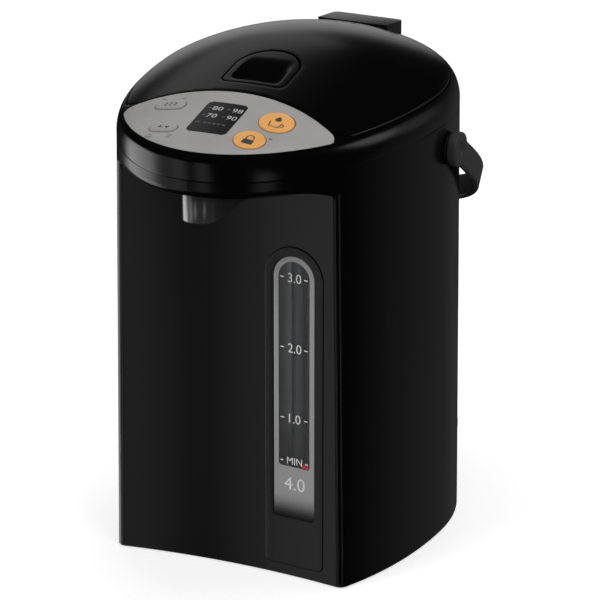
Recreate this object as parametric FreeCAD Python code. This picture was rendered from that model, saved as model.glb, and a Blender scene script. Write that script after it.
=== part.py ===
import FreeCAD, Part
import math
import os

# Electric thermo pot of about four litres: a flared oval body with a concave front panel,
# a nose that carries the control fascia and the spout, a domed lid hinged at the back,
# a bail handle, a steel tank with its heater and a pump under it.
# Units are millimetres. The origin is on the tank's axis, at the surface the pot stands on.
# X points right seen from the front, -Y points to the front and Z points up.

V = FreeCAD.Vector
X_AXIS = V(1, 0, 0)
Y_AXIS = V(0, 1, 0)
Z_AXIS = V(0, 0, 1)

# Clearances
cover_gap = 0.3
moving_gap = 0.4
running_gap = 0.05
seat_gap = 0.1

# Body: an egg-shaped outline, two half ellipses that meet at the widest line
body_half_width = 109.0
body_front = 177.5
body_back = 119.5
base_half_width = 111.8
base_front = 184.0
base_back = 121.8
body_wall = 2.5
body_bottom = 1.0
seam_height = 302.0
ledge_width = 4.0
ledge_height = 3.5

# Concave front panel under the nose
panel_depth = 113.0
panel_radius = 540.0
recess_top = seam_height - 12.0
recess_foot_half_width = 86.5
recess_top_half_width = 82.0
recess_corner = 27.0
ridge_radius = 6.0

# Dome: height lost from the crown towards the side, the back and the nose
dome_rise = 50.0
crown_height = seam_height + dome_rise
side_crown = 0.638 * dome_rise
side_shoulder = 0.278 * dome_rise
side_sharpness = 17.0
back_crown = 0.594 * dome_rise
back_shoulder = 0.164 * dome_rise
back_sharpness = 20.0
nose_slope = 0.2113
nose_crown = 5.0
nose_shoulder = 3.7
nose_sharpness = 70.0
dome_shares = [
    0.0, 0.084, 0.14, 0.2, 0.242, 0.27, 0.3, 0.34, 0.39, 0.45,
    0.52, 0.6, 0.68, 0.76, 0.84, 0.9, 0.95, 0.98, 0.994,
]

# Lid opening and lid
lid_inset = 6.5
lid_front = 91.6
lid_front_radius = 165.0
lid_corner = 12.0
lid_gap = 0.8
lid_wall = 2.5
lid_skirt_bottom = seam_height + 8.0
lid_base_bottom = seam_height + 3.0
lid_boss_height = 5.0
lid_base_inset = 1.5
deck_thickness = 4.0
opening_wall = 2.5

# Control fascia
fascia_inset = 5.0
fascia_gap_to_lid = 0.8
fascia_thickness = 1.6
fascia_tip = 7.0
panel_origin_y = -130.0
display_width = 29.0
display_length = 40.0
display_centre = (-2.0, -127.3)
display_corner = 4.0
button_proud = 0.9
button_travel = 0.8
button_depth = 7.0
stem_radius = 3.0
board_depth = 13.0
board_thickness = 1.6
board_half_width = 52.0
board_half_length = 22.0
panel_posts = [(-47.0, -144.0), (47.0, -144.0), (-21.0, -112.0), (21.0, -112.0)]
switch_height = 4.0
switch_size = 6.0
# name, centre x, centre y, width along x, length along y
buttons = [
    ("dispense_button", 37.5, -119.5, 24.0, 24.0),
    ("unlock_button", 30.0, -146.0, 21.5, 21.5),
    ("reboil_button", -42.0, -115.0, 22.0, 12.0),
    ("select_button", -32.5, -145.5, 20.0, 11.0),
]

# Level gauge
gauge_x = 48.1
gauge_spring = seam_height - 81.7
cover_half_width = 22.35
cover_bottom = 8.4
cover_corner = 5.0
cover_proud = 0.6
cover_pocket = 1.0
plate_half_width = 15.6
plate_bottom = 45.0
plate_corner = 2.0
window_half_width = 11.85
window_bottom = 83.0
window_corner = 1.5
window_depth = 1.8
tube_radius = 5.5
tube_bore = 4.0
tube_y = -105.5
tube_bottom = 62.0
tube_top = recess_top - 12.0
neck_radius = 3.0
neck_bore = 1.8
neck_length = 8.0

# Spout
spout_half_width = 12.0
spout_front = 170.0
spout_bottom = recess_top - 20.0
spout_wall = 2.0
nozzle_y = -157.0
nozzle_radius = 6.0
nozzle_bore = 4.0
nozzle_bottom = recess_top - 17.0
nozzle_flange = 2.0

# Tank and heater
tank_bore = 79.0
tank_wall = 1.0
tank_floor = 67.8
tank_corner = 15.0
collar_bottom = seam_height - 8.5
collar_thickness = 2.5
flange_radius = 86.0
flange_thickness = 1.2
collar_radius = 103.0
shield_radius = 88.0
shield_wall = 0.8
shield_bottom = 56.0
heater_radius = 46.0
heater_thickness = 5.0
sensor_radius = 6.0
sensor_length = 14.0

# Pump
pump_x = 34.1
pump_y = -50.0
pump_radius = 18.0
pump_height = 18.0
pump_bottom = 22.0
pump_wall = 2.0
outlet_offset = 14.0
outlet_height = 30.0
hose_bore = 5.5
hose_wall = 1.5
riser_bend = 16.0
motor_radius = 14.0
impeller_radius = 11.0
impeller_height = 6.0
shaft_radius = 1.5

# Base
plate_thickness = 3.0
foot_radius = 86.0
foot_width = 12.0
foot_height = 2.5
foot_groove = 1.0
screw_radius = 1.5
screw_head = 3.2
post_radius = 4.0
post_top = 22.0
base_screw_front = -80.0
base_screw_back = 70.0

# Power inlet on the right of the back
inlet_angle = 55.0
inlet_half_width = 20.0
inlet_bottom = 6.0
inlet_top = 45.0
inlet_proud = 5.0
inlet_depth = 14.0
inlet_brow = 2.0
inlet_brow_height = 6.0
socket_half_width = 13.0
socket_height = 14.0
socket_depth = 10.0
socket_middle = 25.0
inlet_pin_radius = 1.5
inlet_pin_length = 6.0
inlet_pin_spread = 6.0
magnet_width = 5.0

# Lid hinge
hinge_y = 113.5
hinge_z = crown_height - 0.32 * dome_rise - 13.0
block_half_width = 26.5
block_front = 91.0
block_back = 122.0
block_top_front = hinge_z + 13.0
block_top_back = hinge_z + 8.7
block_bottom = hinge_z - 5.0
block_wall = 2.5
cheek_width = 5.5
ear_width = 5.0
ear_radius = 4.0
hinge_pin_radius = 2.0
notch_floor = hinge_z - 13.5

# Lid lever and latch
lever_front = 79.5
lever_back = 31.0
lever_half_width = 23.5
lever_corner = 6.0
lever_skin = 3.0
lever_body = 9.0
lever_pivot_y = -33.5
lever_pivot_depth = 2.2
lever_gap = 0.5
lever_pin_radius = 1.2
dish_rim = 5.5
dish_depth = 6.5
latch_half_width = 14.5
latch_height = 3.4
latch_bottom = lid_skirt_bottom + 8.3
latch_back = 60.0
latch_travel = 4.0

# Steam vent
vent_y = 68.0
vent_pitch = 7.4
vent_hole_radius = 1.75
vent_radius = 18.0
vent_wall = 1.5
steam_bore = 6.0

# Handle
handle_y = 7.5
handle_z = seam_height - 19.5
handle_clearance = 7.7
handle_half_width = body_half_width + handle_clearance
handle_reach = 148.0
handle_roundness = 2.52
handle_droop = 32.7
handle_thickness = 5.0
handle_strap = 18.0
boss_radius = 12.0
boss_inner = body_half_width + 1.6
boss_proud = 0.8
pivot_radius = 5.0
pivot_inner = body_half_width - 5.0


def box(x0, x1, y0, y1, z0, z1):
    return Part.makeBox(x1 - x0, y1 - y0, z1 - z0, V(x0, y0, z0))


def rod(radius, start, direction, length):
    return Part.makeCylinder(radius, length, start, direction)


def tube(outer, inner, start, direction, length):
    return rod(outer, start, direction, length).cut(rod(inner, start, direction, length))


def quarter(start, corner, end):
    curve = Part.BSplineCurve()
    curve.buildFromPolesMultsKnots([start, corner, end], [3, 3], [0, 1], False, 2, [1, math.sqrt(0.5), 1])
    return curve.toShape()


def egg_wire(half_width, front, back, z):
    right, left = V(half_width, 0, z), V(-half_width, 0, z)
    rear, nose = V(0, back, z), V(0, -front, z)
    return Part.Wire([
        quarter(right, V(half_width, back, z), rear),
        quarter(rear, V(-half_width, back, z), left),
        quarter(left, V(-half_width, -front, z), nose),
        quarter(nose, V(half_width, -front, z), right),
    ])


def egg_prism(half_width, front, back, z0, z1):
    return Part.Face(egg_wire(half_width, front, back, z0)).extrude(V(0, 0, z1 - z0))


def body_row(z, inset):
    share = (z - body_bottom) / (seam_height - body_bottom)
    half_width = base_half_width + (body_half_width - base_half_width) * share
    front = base_front + (body_front - base_front) * share
    back = base_back + (body_back - base_back) * share
    return half_width - inset, front - inset, back - inset, z


def body_block(inset, z0, z1):
    wires = [egg_wire(*body_row(z, inset)) for z in (z0, z1)]
    return Part.makeLoft(wires, True, True)


def recess_block(grow):
    # The space in front of the panel and under the nose. grow widens it, which leaves a wall.
    foot, top = -20.0, recess_top + grow
    wide, narrow = recess_foot_half_width + grow, recess_top_half_width + grow
    near, far = -panel_depth + 60.0, -body_front - 80.0
    corners = [V(-wide, near, foot), V(wide, near, foot), V(narrow, near, top), V(-narrow, near, top)]
    prism = Part.Face(Part.makePolygon(corners + corners[:1])).extrude(V(0, far - near, 0))
    lip = [e for e in prism.Edges if e.BoundBox.YLength > 50 and e.BoundBox.ZMin > top - 0.1]
    prism = prism.makeFillet(recess_corner + grow, lip)
    centre = V(0, -panel_depth - panel_radius, foot)
    return prism.common(rod(panel_radius + grow, centre, Z_AXIS, top - foot))


def panel_sheet(prism, proud, sunk):
    centre = V(0, -panel_depth - panel_radius, 0)
    height = recess_top
    front = rod(panel_radius - proud, centre, Z_AXIS, height)
    return prism.common(rod(panel_radius + sunk, centre, Z_AXIS, height)).cut(front)


def arch_prism(half_width, bottom, corner):
    # An upright slot seen from the front, with a round top, that runs through the panel.
    near = -panel_depth + 18.0
    left, right = gauge_x - half_width, gauge_x + half_width
    bend = corner * (1 - math.sqrt(0.5))
    edges = [
        Part.LineSegment(V(left + corner, near, bottom), V(right - corner, near, bottom)).toShape(),
        Part.Arc(V(right - corner, near, bottom), V(right - bend, near, bottom + bend),
                 V(right, near, bottom + corner)).toShape(),
        Part.LineSegment(V(right, near, bottom + corner), V(right, near, gauge_spring)).toShape(),
        Part.Arc(V(right, near, gauge_spring), V(gauge_x, near, gauge_spring + half_width),
                 V(left, near, gauge_spring)).toShape(),
        Part.LineSegment(V(left, near, gauge_spring), V(left, near, bottom + corner)).toShape(),
        Part.Arc(V(left, near, bottom + corner), V(left + bend, near, bottom + bend),
                 V(left + corner, near, bottom)).toShape(),
    ]
    return Part.Face(Part.Wire(edges)).extrude(V(0, -40.0, 0))


def solve_share(drop, fall):
    # The share of the full radius at which the fall from the crown equals drop.
    low, high = 0.0, 1.0
    if fall(high) <= drop:
        return high
    for _ in range(50):
        middle = (low + high) / 2
        if fall(middle) < drop:
            low = middle
        else:
            high = middle
    return (low + high) / 2


def shoulder_fall(share, sharpness):
    # The rounding at the rim, from 0 well inside to 1 where it meets the upright wall.
    return 1 - math.sqrt(max(0.0, 1 - share ** sharpness))


def side_fall(share):
    return side_crown * share ** 2 + side_shoulder * shoulder_fall(share, side_sharpness)


def back_fall(share):
    return back_crown * share ** 2 + back_shoulder * shoulder_fall(share, back_sharpness)


def nose_fall(share):
    slope = nose_slope * body_front * share
    return math.hypot(slope, nose_crown) - nose_crown + nose_shoulder * shoulder_fall(share, nose_sharpness)


def dome_row(z):
    drop = crown_height - z
    half_width = body_half_width * solve_share(drop, side_fall)
    front = body_front * solve_share(drop, nose_fall)
    back = body_back * solve_share(drop, back_fall)
    return half_width, front, back


def dome(inset, lower):
    wires = []
    for share in dome_shares:
        level = seam_height + share * dome_rise
        half_width, front, back = dome_row(level)
        wires.append(egg_wire(half_width - inset, front - inset, back - inset, level - lower))
    return Part.makeLoft(wires, True, True)


def dome_height(x, y):
    low, high = seam_height, crown_height - 0.05
    for _ in range(50):
        middle = (low + high) / 2
        half_width, front, back = dome_row(middle)
        depth = back if y > 0 else front
        if (x / half_width) ** 2 + (y / depth) ** 2 > 1:
            high = middle
        else:
            low = middle
    return (low + high) / 2


def upright_edges(shape, test):
    found = []
    for edge in shape.Edges:
        bounds = edge.BoundBox
        if bounds.XLength < 0.01 and bounds.YLength < 0.01 and test(bounds.XMin, bounds.YMin):
            found.append(edge)
    return found


def lid_prism(grow, z0, z1):
    shrink = lid_inset - grow
    oval = egg_prism(body_half_width - shrink, body_front - shrink, body_back - shrink, z0, z1)
    centre = V(0, -lid_front - lid_front_radius, z0)
    prism = oval.cut(rod(lid_front_radius - grow, centre, Z_AXIS, z1 - z0))
    return prism.makeFillet(lid_corner + grow, upright_edges(prism, lambda x, y: y < -50))


def fascia_prism(shrink, z0, z1):
    inset = fascia_inset + shrink
    oval = egg_prism(body_half_width - inset, body_front - inset, body_back - inset, z0, z1)
    centre = V(0, -lid_front - lid_front_radius, z0)
    radius = lid_front_radius - fascia_gap_to_lid - shrink
    prism = oval.common(rod(radius, centre, Z_AXIS, z1 - z0))
    return prism.makeFillet(fascia_tip, upright_edges(prism, lambda x, y: abs(x) > 50))


def rounded_prism(width, length, corner, height):
    # A plate about the origin, from -height to +height along Z.
    plate = box(-width / 2, width / 2, -length / 2, length / 2, -height, height)
    radius = min(corner, width / 2 - 0.01, length / 2 - 0.01)
    return plate.makeFillet(radius, upright_edges(plate, lambda x, y: True))


panel_z = crown_height - nose_fall(-panel_origin_y / body_front)
panel_tilt = math.degrees(math.atan(nose_slope))
panel_frame = FreeCAD.Placement(V(0, panel_origin_y, panel_z), FreeCAD.Rotation(X_AXIS, panel_tilt))


def on_panel(shape, x, y, depth):
    # Carries a shape made about the origin to the sloping panel. depth is measured into the panel.
    placed = shape.copy()
    along = (y - panel_origin_y) / math.cos(math.radians(panel_tilt))
    placed.translate(V(x, along, -depth))
    placed.Placement = panel_frame.multiply(placed.Placement)
    return placed


def button_prism(width, length, shrink):
    return rounded_prism(width - 2 * shrink, length - 2 * shrink, min(width, length) / 2 - shrink, 12.0)


def lever_prism(shrink, z0, z1):
    # A D seen from above: straight at the front, half an ellipse at the back.
    half_width = lever_half_width - shrink
    front, back = -lever_front + shrink, -lever_back - shrink
    middle = (front + back) / 2
    left, right = V(-half_width, middle, z0), V(half_width, middle, z0)
    edges = [
        Part.LineSegment(V(-half_width, front, z0), V(half_width, front, z0)).toShape(),
        Part.LineSegment(V(half_width, front, z0), right).toShape(),
        quarter(right, V(half_width, back, z0), V(0, back, z0)),
        quarter(V(0, back, z0), V(-half_width, back, z0), left),
        Part.LineSegment(left, V(-half_width, front, z0)).toShape(),
    ]
    prism = Part.Face(Part.Wire(edges)).extrude(V(0, 0, z1 - z0))
    return prism.makeFillet(lever_corner - shrink / 2, upright_edges(prism, lambda x, y: y < front + 1))


def bent_pipe(points, radius, bend):
    # A round pipe along straight runs that are joined by arcs of one bend radius.
    edges = []
    last = points[0]
    for before, corner, after in zip(points, points[1:], points[2:]):
        into = (corner - before).normalize()
        out = (after - corner).normalize()
        turn = into.getAngle(out)
        trim = bend * math.tan(turn / 2)
        start, end = corner - into * trim, corner + out * trim
        bisector = (out - into).normalize()
        centre = corner + bisector * (bend / math.cos(turn / 2))
        edges.append(Part.LineSegment(last, start).toShape())
        edges.append(Part.Arc(start, centre - bisector * bend, end).toShape())
        last = end
    edges.append(Part.LineSegment(last, points[-1]).toShape())
    path = Part.Wire(edges)
    first = (points[1] - points[0]).normalize()
    ring = Part.Wire(Part.Circle(points[0], first, radius).toShape())
    return path.makePipeShell([ring], True, False)


def hose(points, bore, wall, bend):
    return bent_pipe(points, bore + wall, bend).cut(bent_pipe(points, bore, bend))


os.makedirs("parts", exist_ok=True)


def write(name, shape):
    shape.exportStep("parts/" + name + ".step")
    print(name, "solids", len(shape.Solids), "valid", shape.isValid(), "volume", round(shape.Volume))


def make_body_shell():
    whole = body_block(0, body_bottom, seam_height)
    recess = recess_block(0)
    outer = whole.cut(recess)
    skin, front = whole.Shells[0], recess.Shells[0]
    ridge = []
    for edge in outer.Edges:
        middle = Part.Vertex(edge.valueAt((edge.FirstParameter + edge.LastParameter) / 2))
        on_both = middle.distToShape(skin)[0] < 0.01 and middle.distToShape(front)[0] < 0.01
        if on_both and edge.BoundBox.ZMax > body_bottom + 1:
            ridge.append(edge)
    outer = outer.makeFillet(ridge_radius, ridge)
    cavity = body_block(body_wall, body_bottom - 5, seam_height + 5).cut(recess_block(body_wall))
    shell = outer.cut(cavity)
    # The ledge that the tank's collar rests on, behind the nose
    ledge_bottom = collar_bottom - ledge_height
    ledge = body_block(body_wall - 0.5, ledge_bottom, collar_bottom)
    ledge = ledge.cut(body_block(body_wall + ledge_width, ledge_bottom - 1, collar_bottom + 1))
    reach = body_half_width + 20
    shell = shell.fuse(ledge.common(box(-reach, reach, -60, reach + 40, 0, seam_height)))
    # Posts for the base screws
    for x, y in base_screw_places():
        post = rod(post_radius, V(x, y, plate_top), Z_AXIS, post_top - plate_top)
        shell = shell.fuse(post.common(body_block(0.5, body_bottom, seam_height)))
        shell = shell.cut(rod(screw_radius, V(x, y, plate_top - 1), Z_AXIS, 12.0))
    # Gauge pocket and window
    pocket = arch_prism(cover_half_width + seat_gap, cover_bottom - seat_gap, cover_corner)
    shell = shell.cut(panel_sheet(pocket, 5.0, cover_pocket))
    slot = arch_prism(window_half_width + 1, window_bottom - 1, window_corner)
    shell = shell.cut(panel_sheet(slot, 5.0, 10.0))
    # Nozzle hole, inlet opening and handle pivots
    shell = shell.cut(rod(nozzle_radius + seat_gap, V(0, nozzle_y, recess_top - 5), Z_AXIS, 12.0))
    opening = inlet_box(inlet_half_width + seat_gap, inlet_bottom - seat_gap, inlet_top + seat_gap, -20, 20)
    shell = shell.cut(opening)
    for side in (-1, 1):
        start = V(side * (pivot_inner - 10), handle_y, handle_z)
        shell = shell.cut(rod(pivot_radius + running_gap, start, V(side, 0, 0), 30))
    return shell.removeSplitter()


plate_top = body_bottom + 1.0 + plate_thickness


def base_screw_places():
    half_width, front, back, _ = body_row(plate_top, body_wall + screw_head + cover_gap + 0.1)
    places = []
    for y, depth in ((base_screw_front, front), (base_screw_back, back)):
        x = half_width * math.sqrt(1 - (y / depth) ** 2)
        places += [(-x, y), (x, y)]
    return places


def make_base_plate():
    slab = body_block(body_wall + cover_gap, plate_top - plate_thickness, plate_top)
    slab = slab.cut(recess_block(body_wall + cover_gap))
    for x, y in base_screw_places():
        slab = slab.cut(rod(screw_radius + 0.2, V(x, y, 0), Z_AXIS, 10))
        slab = slab.cut(rod(screw_head + 0.3, V(x, y, 0), Z_AXIS, plate_top - 1.5))
    groove = tube(foot_radius + seat_gap, foot_radius - foot_width - seat_gap, V(0, 0, 0), Z_AXIS,
                  plate_top - plate_thickness + foot_groove)
    slab = slab.cut(groove)
    for x, y in board_posts():
        slab = slab.fuse(rod(3.0, V(x, y, plate_top - 0.5), Z_AXIS, board_post_height + 0.5))
    return slab.removeSplitter()


board_post_height = 8.0
power_board_x, power_board_y = -40.0, 25.0
power_board_width, power_board_length = 70.0, 80.0


def board_posts():
    across, along = power_board_width / 2 - 5, power_board_length / 2 - 5
    return [(power_board_x + i * across, power_board_y + j * along) for i in (-1, 1) for j in (-1, 1)]


def make_base_screws():
    screws = []
    for x, y in base_screw_places():
        head = rod(screw_head, V(x, y, plate_top - 3.3), Z_AXIS, 1.8)
        screws.append(head.fuse(rod(screw_radius, V(x, y, plate_top - 1.6), Z_AXIS, 10.0)))
    return Part.makeCompound(screws)


def make_foot_ring():
    bottom = plate_top - plate_thickness + foot_groove
    return tube(foot_radius, foot_radius - foot_width, V(0, 0, 0), Z_AXIS, bottom)


def make_head_cover():
    shell = dome(0, 0).cut(lid_prism(lid_gap / 2, seam_height - 5, crown_height + 30))
    centre = V(0, -lid_front - lid_front_radius, seam_height - 10)
    behind = rod(lid_front_radius - opening_wall, centre, Z_AXIS, crown_height)
    shell = shell.cut(dome(body_wall, deck_thickness).common(behind))
    shell = shell.cut(fascia_prism(0, seam_height, crown_height + 20).cut(dome(0, fascia_thickness)))
    # Posts for the control board
    for x, y in panel_posts:
        post = on_panel(rod(3.0, V(0, 0, -board_depth), Z_AXIS, board_depth), x, y, 0)
        shell = shell.fuse(post.common(dome(body_wall + 0.3, fascia_thickness + 1)))
    for name, x, y, width, length in buttons:
        shell = shell.cut(on_panel(button_prism(width, length, -cover_gap), x, y, 0))
    # Notch for the hinge at the back
    half = block_half_width + 0.8
    shell = shell.cut(box(-half, half, block_front + 6, block_back + 30, notch_floor, crown_height))
    return shell.removeSplitter()


def make_control_fascia():
    sheet = fascia_prism(seat_gap, seam_height, crown_height + 20).common(dome(0, 0))
    sheet = sheet.cut(dome(0, fascia_thickness - 0.05))
    for name, x, y, width, length in buttons:
        sheet = sheet.cut(on_panel(button_prism(width, length, -cover_gap), x, y, 0))
    window = rounded_prism(display_width + 2 * seat_gap, display_length + 2 * seat_gap, display_corner, 12)
    return sheet.cut(on_panel(window, display_centre[0], display_centre[1], 0))


def make_display_window():
    window = on_panel(rounded_prism(display_width, display_length, display_corner, 12),
                      display_centre[0], display_centre[1], 0)
    return window.common(dome(0, -0.15)).cut(dome(0, fascia_thickness - 0.05))


def make_control_board():
    board = box(-board_half_width, board_half_width, -board_half_length, board_half_length,
                -board_depth - board_thickness, -board_depth)
    return on_panel(board, 0, panel_origin_y, 0)


def make_key_switches():
    half = switch_size / 2
    switches = []
    for name, x, y, width, length in buttons:
        block = box(-half, half, -half, half, -board_depth, -board_depth + switch_height)
        switches.append(on_panel(block, x, y, 0))
    return Part.makeCompound(switches)


def make_button(x, y, width, length):
    cap = on_panel(button_prism(width, length, 0), x, y, 0)
    cap = cap.common(dome(0, -button_proud))
    foot = rounded_prism(200, 200, 5, 50)
    cap = cap.cut(on_panel(foot, 0, panel_origin_y, button_depth + 50))
    stem_end = board_depth - switch_height - button_travel - seat_gap
    stem = rod(stem_radius, V(0, 0, -stem_end), Z_AXIS, stem_end - button_depth + 1)
    return cap.fuse(on_panel(stem, x, y, 0)).removeSplitter()


def make_gauge():
    cover = panel_sheet(arch_prism(cover_half_width, cover_bottom, cover_corner), cover_proud, cover_pocket)
    plate_hole = arch_prism(plate_half_width + seat_gap / 2, plate_bottom - seat_gap / 2, plate_corner)
    window_hole = arch_prism(window_half_width + seat_gap / 2, window_bottom - seat_gap / 2, window_corner)
    cover = cover.cut(panel_sheet(plate_hole, 5.0, -0.1)).cut(window_hole)
    plate = panel_sheet(arch_prism(plate_half_width, plate_bottom, plate_corner), cover_proud, -0.15)
    plate = plate.cut(window_hole)
    window = arch_prism(window_half_width, window_bottom, window_corner)
    lens = panel_sheet(window, cover_proud - 0.1, window_depth)
    return cover, plate, lens


def make_spout_shroud():
    def outline(half_width, back, z0, z1):
        middle = -spout_front + spout_half_width
        block = box(-half_width, half_width, middle, back, z0, z1)
        return block.fuse(rod(half_width, V(0, middle, z0), Z_AXIS, z1 - z0))
    outer = outline(spout_half_width, -panel_depth + 5, spout_bottom, recess_top)
    ceiling = recess_top - spout_wall
    inner = outline(spout_half_width - spout_wall, -panel_depth - 5, spout_bottom - 1, ceiling)
    shroud = outer.cut(inner).common(recess_block(0))
    hole = rod(nozzle_radius + seat_gap, V(0, nozzle_y, recess_top - 5), Z_AXIS, 10)
    return shroud.cut(hole).removeSplitter()


def nozzle_flange_top():
    return recess_top + body_wall + nozzle_flange


def make_spout_nozzle():
    top = nozzle_flange_top()
    pipe = rod(nozzle_radius, V(0, nozzle_y, nozzle_bottom), Z_AXIS, top - nozzle_bottom)
    pipe = pipe.fuse(rod(nozzle_radius + 3, V(0, nozzle_y, top - nozzle_flange), Z_AXIS, nozzle_flange))
    neck_top = outlet_hose_height - outlet_hose_bend - seat_gap
    pipe = pipe.fuse(rod(neck_radius, V(0, nozzle_y, top - 1), Z_AXIS, neck_top - top + 1))
    pipe = pipe.cut(rod(nozzle_bore, V(0, nozzle_y, nozzle_bottom - 1), Z_AXIS, top - nozzle_bottom - 1))
    return pipe.cut(rod(neck_bore, V(0, nozzle_y, top - 5), Z_AXIS, 20))


def make_inner_tank():
    outer_radius = tank_bore + tank_wall
    rim = collar_bottom + collar_thickness
    bottom = tank_floor - tank_wall
    outer = rod(outer_radius, V(0, 0, bottom), Z_AXIS, rim - bottom)
    foot = [e for e in outer.Edges if abs(e.BoundBox.ZMax - bottom) < 0.01]
    outer = outer.makeFillet(tank_corner, foot)
    inner = rod(tank_bore, V(0, 0, tank_floor), Z_AXIS, rim + 10 - tank_floor)
    foot = [e for e in inner.Edges if abs(e.BoundBox.ZMax - tank_floor) < 0.01]
    inner = inner.makeFillet(tank_corner - tank_wall, foot)
    tank = outer.fuse(rod(flange_radius, V(0, 0, rim), Z_AXIS, flange_thickness))
    tank = tank.fuse(rod(hose_bore - running_gap, V(pump_x, pump_y, bottom - 10), Z_AXIS, 12))
    tank = tank.cut(inner)
    return tank.cut(rod(hose_bore - 1.2, V(pump_x, pump_y, bottom - 11), Z_AXIS, 20)).removeSplitter()


def make_tank_collar():
    ring = body_block(body_wall + cover_gap, collar_bottom, collar_bottom + collar_thickness)
    ring = ring.common(rod(collar_radius, V(0, 0, 0), Z_AXIS, crown_height).fuse(
        box(-body_half_width, body_half_width, 0, 200, 0, crown_height)))
    return ring.cut(rod(tank_bore + tank_wall + seat_gap, V(0, 0, 0), Z_AXIS, crown_height))


def make_heat_shield():
    return tube(shield_radius + shield_wall, shield_radius, V(0, 0, shield_bottom), Z_AXIS,
                collar_bottom - shield_bottom)


def make_heater():
    bottom = tank_floor - tank_wall
    plate = rod(heater_radius, V(0, 0, bottom - heater_thickness), Z_AXIS, heater_thickness)
    return plate.cut(rod(sensor_radius + seat_gap, V(0, 0, 0), Z_AXIS, 100))


def make_sensor():
    return rod(sensor_radius, V(0, 0, tank_floor - tank_wall - sensor_length), Z_AXIS, sensor_length)


def make_thermostat():
    top = tank_floor - tank_wall - heater_thickness
    return rod(8.0, V(-28, 0, top - 9), Z_AXIS, 9)


def make_pump_housing():
    centre = V(pump_x, pump_y, pump_bottom)
    housing = rod(pump_radius, centre, Z_AXIS, pump_height)
    outlet_x = pump_x + outlet_offset
    reach = riser_start_y + 2
    neck = hose_bore - running_gap
    housing = housing.fuse(rod(neck, V(outlet_x, pump_y, outlet_height), V(0, -1, 0), pump_y - reach + 8))
    inlet_top = pump_bottom + pump_height
    housing = housing.fuse(rod(neck, V(pump_x, pump_y, inlet_top - 1), Z_AXIS, 9))
    chamber_start = V(pump_x, pump_y, pump_bottom + pump_wall)
    housing = housing.cut(rod(pump_radius - pump_wall, chamber_start, Z_AXIS, pump_height - 2 * pump_wall))
    housing = housing.cut(rod(hose_bore - 1.5, V(outlet_x, pump_y, outlet_height), V(0, -1, 0), 60))
    housing = housing.cut(rod(hose_bore - 1.5, V(pump_x, pump_y, inlet_top - 3), Z_AXIS, 20))
    shaft_hole = rod(shaft_radius + running_gap, V(pump_x, pump_y, pump_bottom - 1), Z_AXIS, 4)
    return housing.cut(shaft_hole).removeSplitter()


riser_start_y = -72.0


def make_pump_motor():
    top = pump_bottom
    bottom = plate_top + 1.0
    motor = rod(motor_radius, V(pump_x, pump_y, bottom), Z_AXIS, top - bottom)
    motor = motor.fuse(rod(5, V(pump_x, pump_y, plate_top), Z_AXIS, 2))
    shaft_hole = rod(shaft_radius + running_gap, V(pump_x, pump_y, top - 6), Z_AXIS, 10)
    return motor.cut(shaft_hole).removeSplitter()


def make_impeller():
    bottom = pump_bottom + pump_wall + 1.5
    disc = rod(impeller_radius, V(pump_x, pump_y, bottom), Z_AXIS, 1.5)
    for turn in range(6):
        vane = box(2.0, impeller_radius, -0.6, 0.6, 1.0, impeller_height)
        vane.rotate(V(0, 0, 0), Z_AXIS, 60 * turn)
        vane.translate(V(pump_x, pump_y, bottom))
        disc = disc.fuse(vane)
    hub = rod(3.0, V(pump_x, pump_y, bottom), Z_AXIS, impeller_height)
    shaft = rod(shaft_radius, V(pump_x, pump_y, pump_bottom - 5), Z_AXIS, bottom - pump_bottom + 6)
    return disc.fuse(hub).fuse(shaft).removeSplitter()


def make_inlet_hose():
    bottom = pump_bottom + pump_height + 0.2
    top = tank_floor - tank_wall - 0.5
    return tube(hose_bore + hose_wall, hose_bore, V(pump_x, pump_y, bottom), Z_AXIS, top - bottom)


def make_riser_hose():
    points = [V(gauge_x, riser_start_y + 4, outlet_height), V(gauge_x, tube_y, outlet_height),
              V(gauge_x, tube_y, tube_bottom + 8)]
    return hose(points, tube_radius + running_gap, hose_wall, riser_bend)


def make_gauge_tube():
    pipe = rod(tube_radius, V(gauge_x, tube_y, tube_bottom), Z_AXIS, tube_top - tube_bottom)
    pipe = pipe.fuse(rod(neck_radius, V(gauge_x, tube_y, tube_top - 1), Z_AXIS, neck_length + 1))
    pipe = pipe.cut(rod(tube_bore, V(gauge_x, tube_y, tube_bottom - 1), Z_AXIS, tube_top - tube_bottom - 1))
    return pipe.cut(rod(neck_bore, V(gauge_x, tube_y, tube_top - 5), Z_AXIS, neck_length + 10))


outlet_hose_height = seam_height + 2.0
outlet_hose_bend = 6.5


def make_outlet_hose():
    points = [V(gauge_x, tube_y, tube_top + seat_gap), V(gauge_x, tube_y, outlet_hose_height),
              V(0, nozzle_y, outlet_hose_height), V(0, nozzle_y, nozzle_flange_top() + seat_gap)]
    return hose(points, neck_radius + running_gap, hose_wall, outlet_hose_bend)


def make_power_board():
    z = plate_top + board_post_height
    half_width, half_length = power_board_width / 2, power_board_length / 2
    x, y = power_board_x, power_board_y
    board = box(x - half_width, x + half_width, y - half_length, y + half_length, z, z + board_thickness)
    board = board.fuse(box(x - 15, x + 10, y - 20, y + 8, z + 1, z + 20))
    return board.fuse(rod(8, V(x + 15, y + 22, z + 1), Z_AXIS, 20)).removeSplitter()


def inlet_frame():
    # A frame on the body's wall: X along the wall, Y outwards, Z up.
    turn = math.radians(inlet_angle)
    half_width, front, back, _ = body_row(inlet_bottom, 0)
    across, deep = math.cos(turn) / half_width, math.sin(turn) / back
    radius = 1 / math.hypot(across, deep)
    x, y = radius * math.cos(turn), radius * math.sin(turn)
    outward = math.degrees(math.atan2(y / back ** 2, x / half_width ** 2))
    return FreeCAD.Placement(V(x, y, 0), FreeCAD.Rotation(Z_AXIS, outward - 90))


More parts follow.
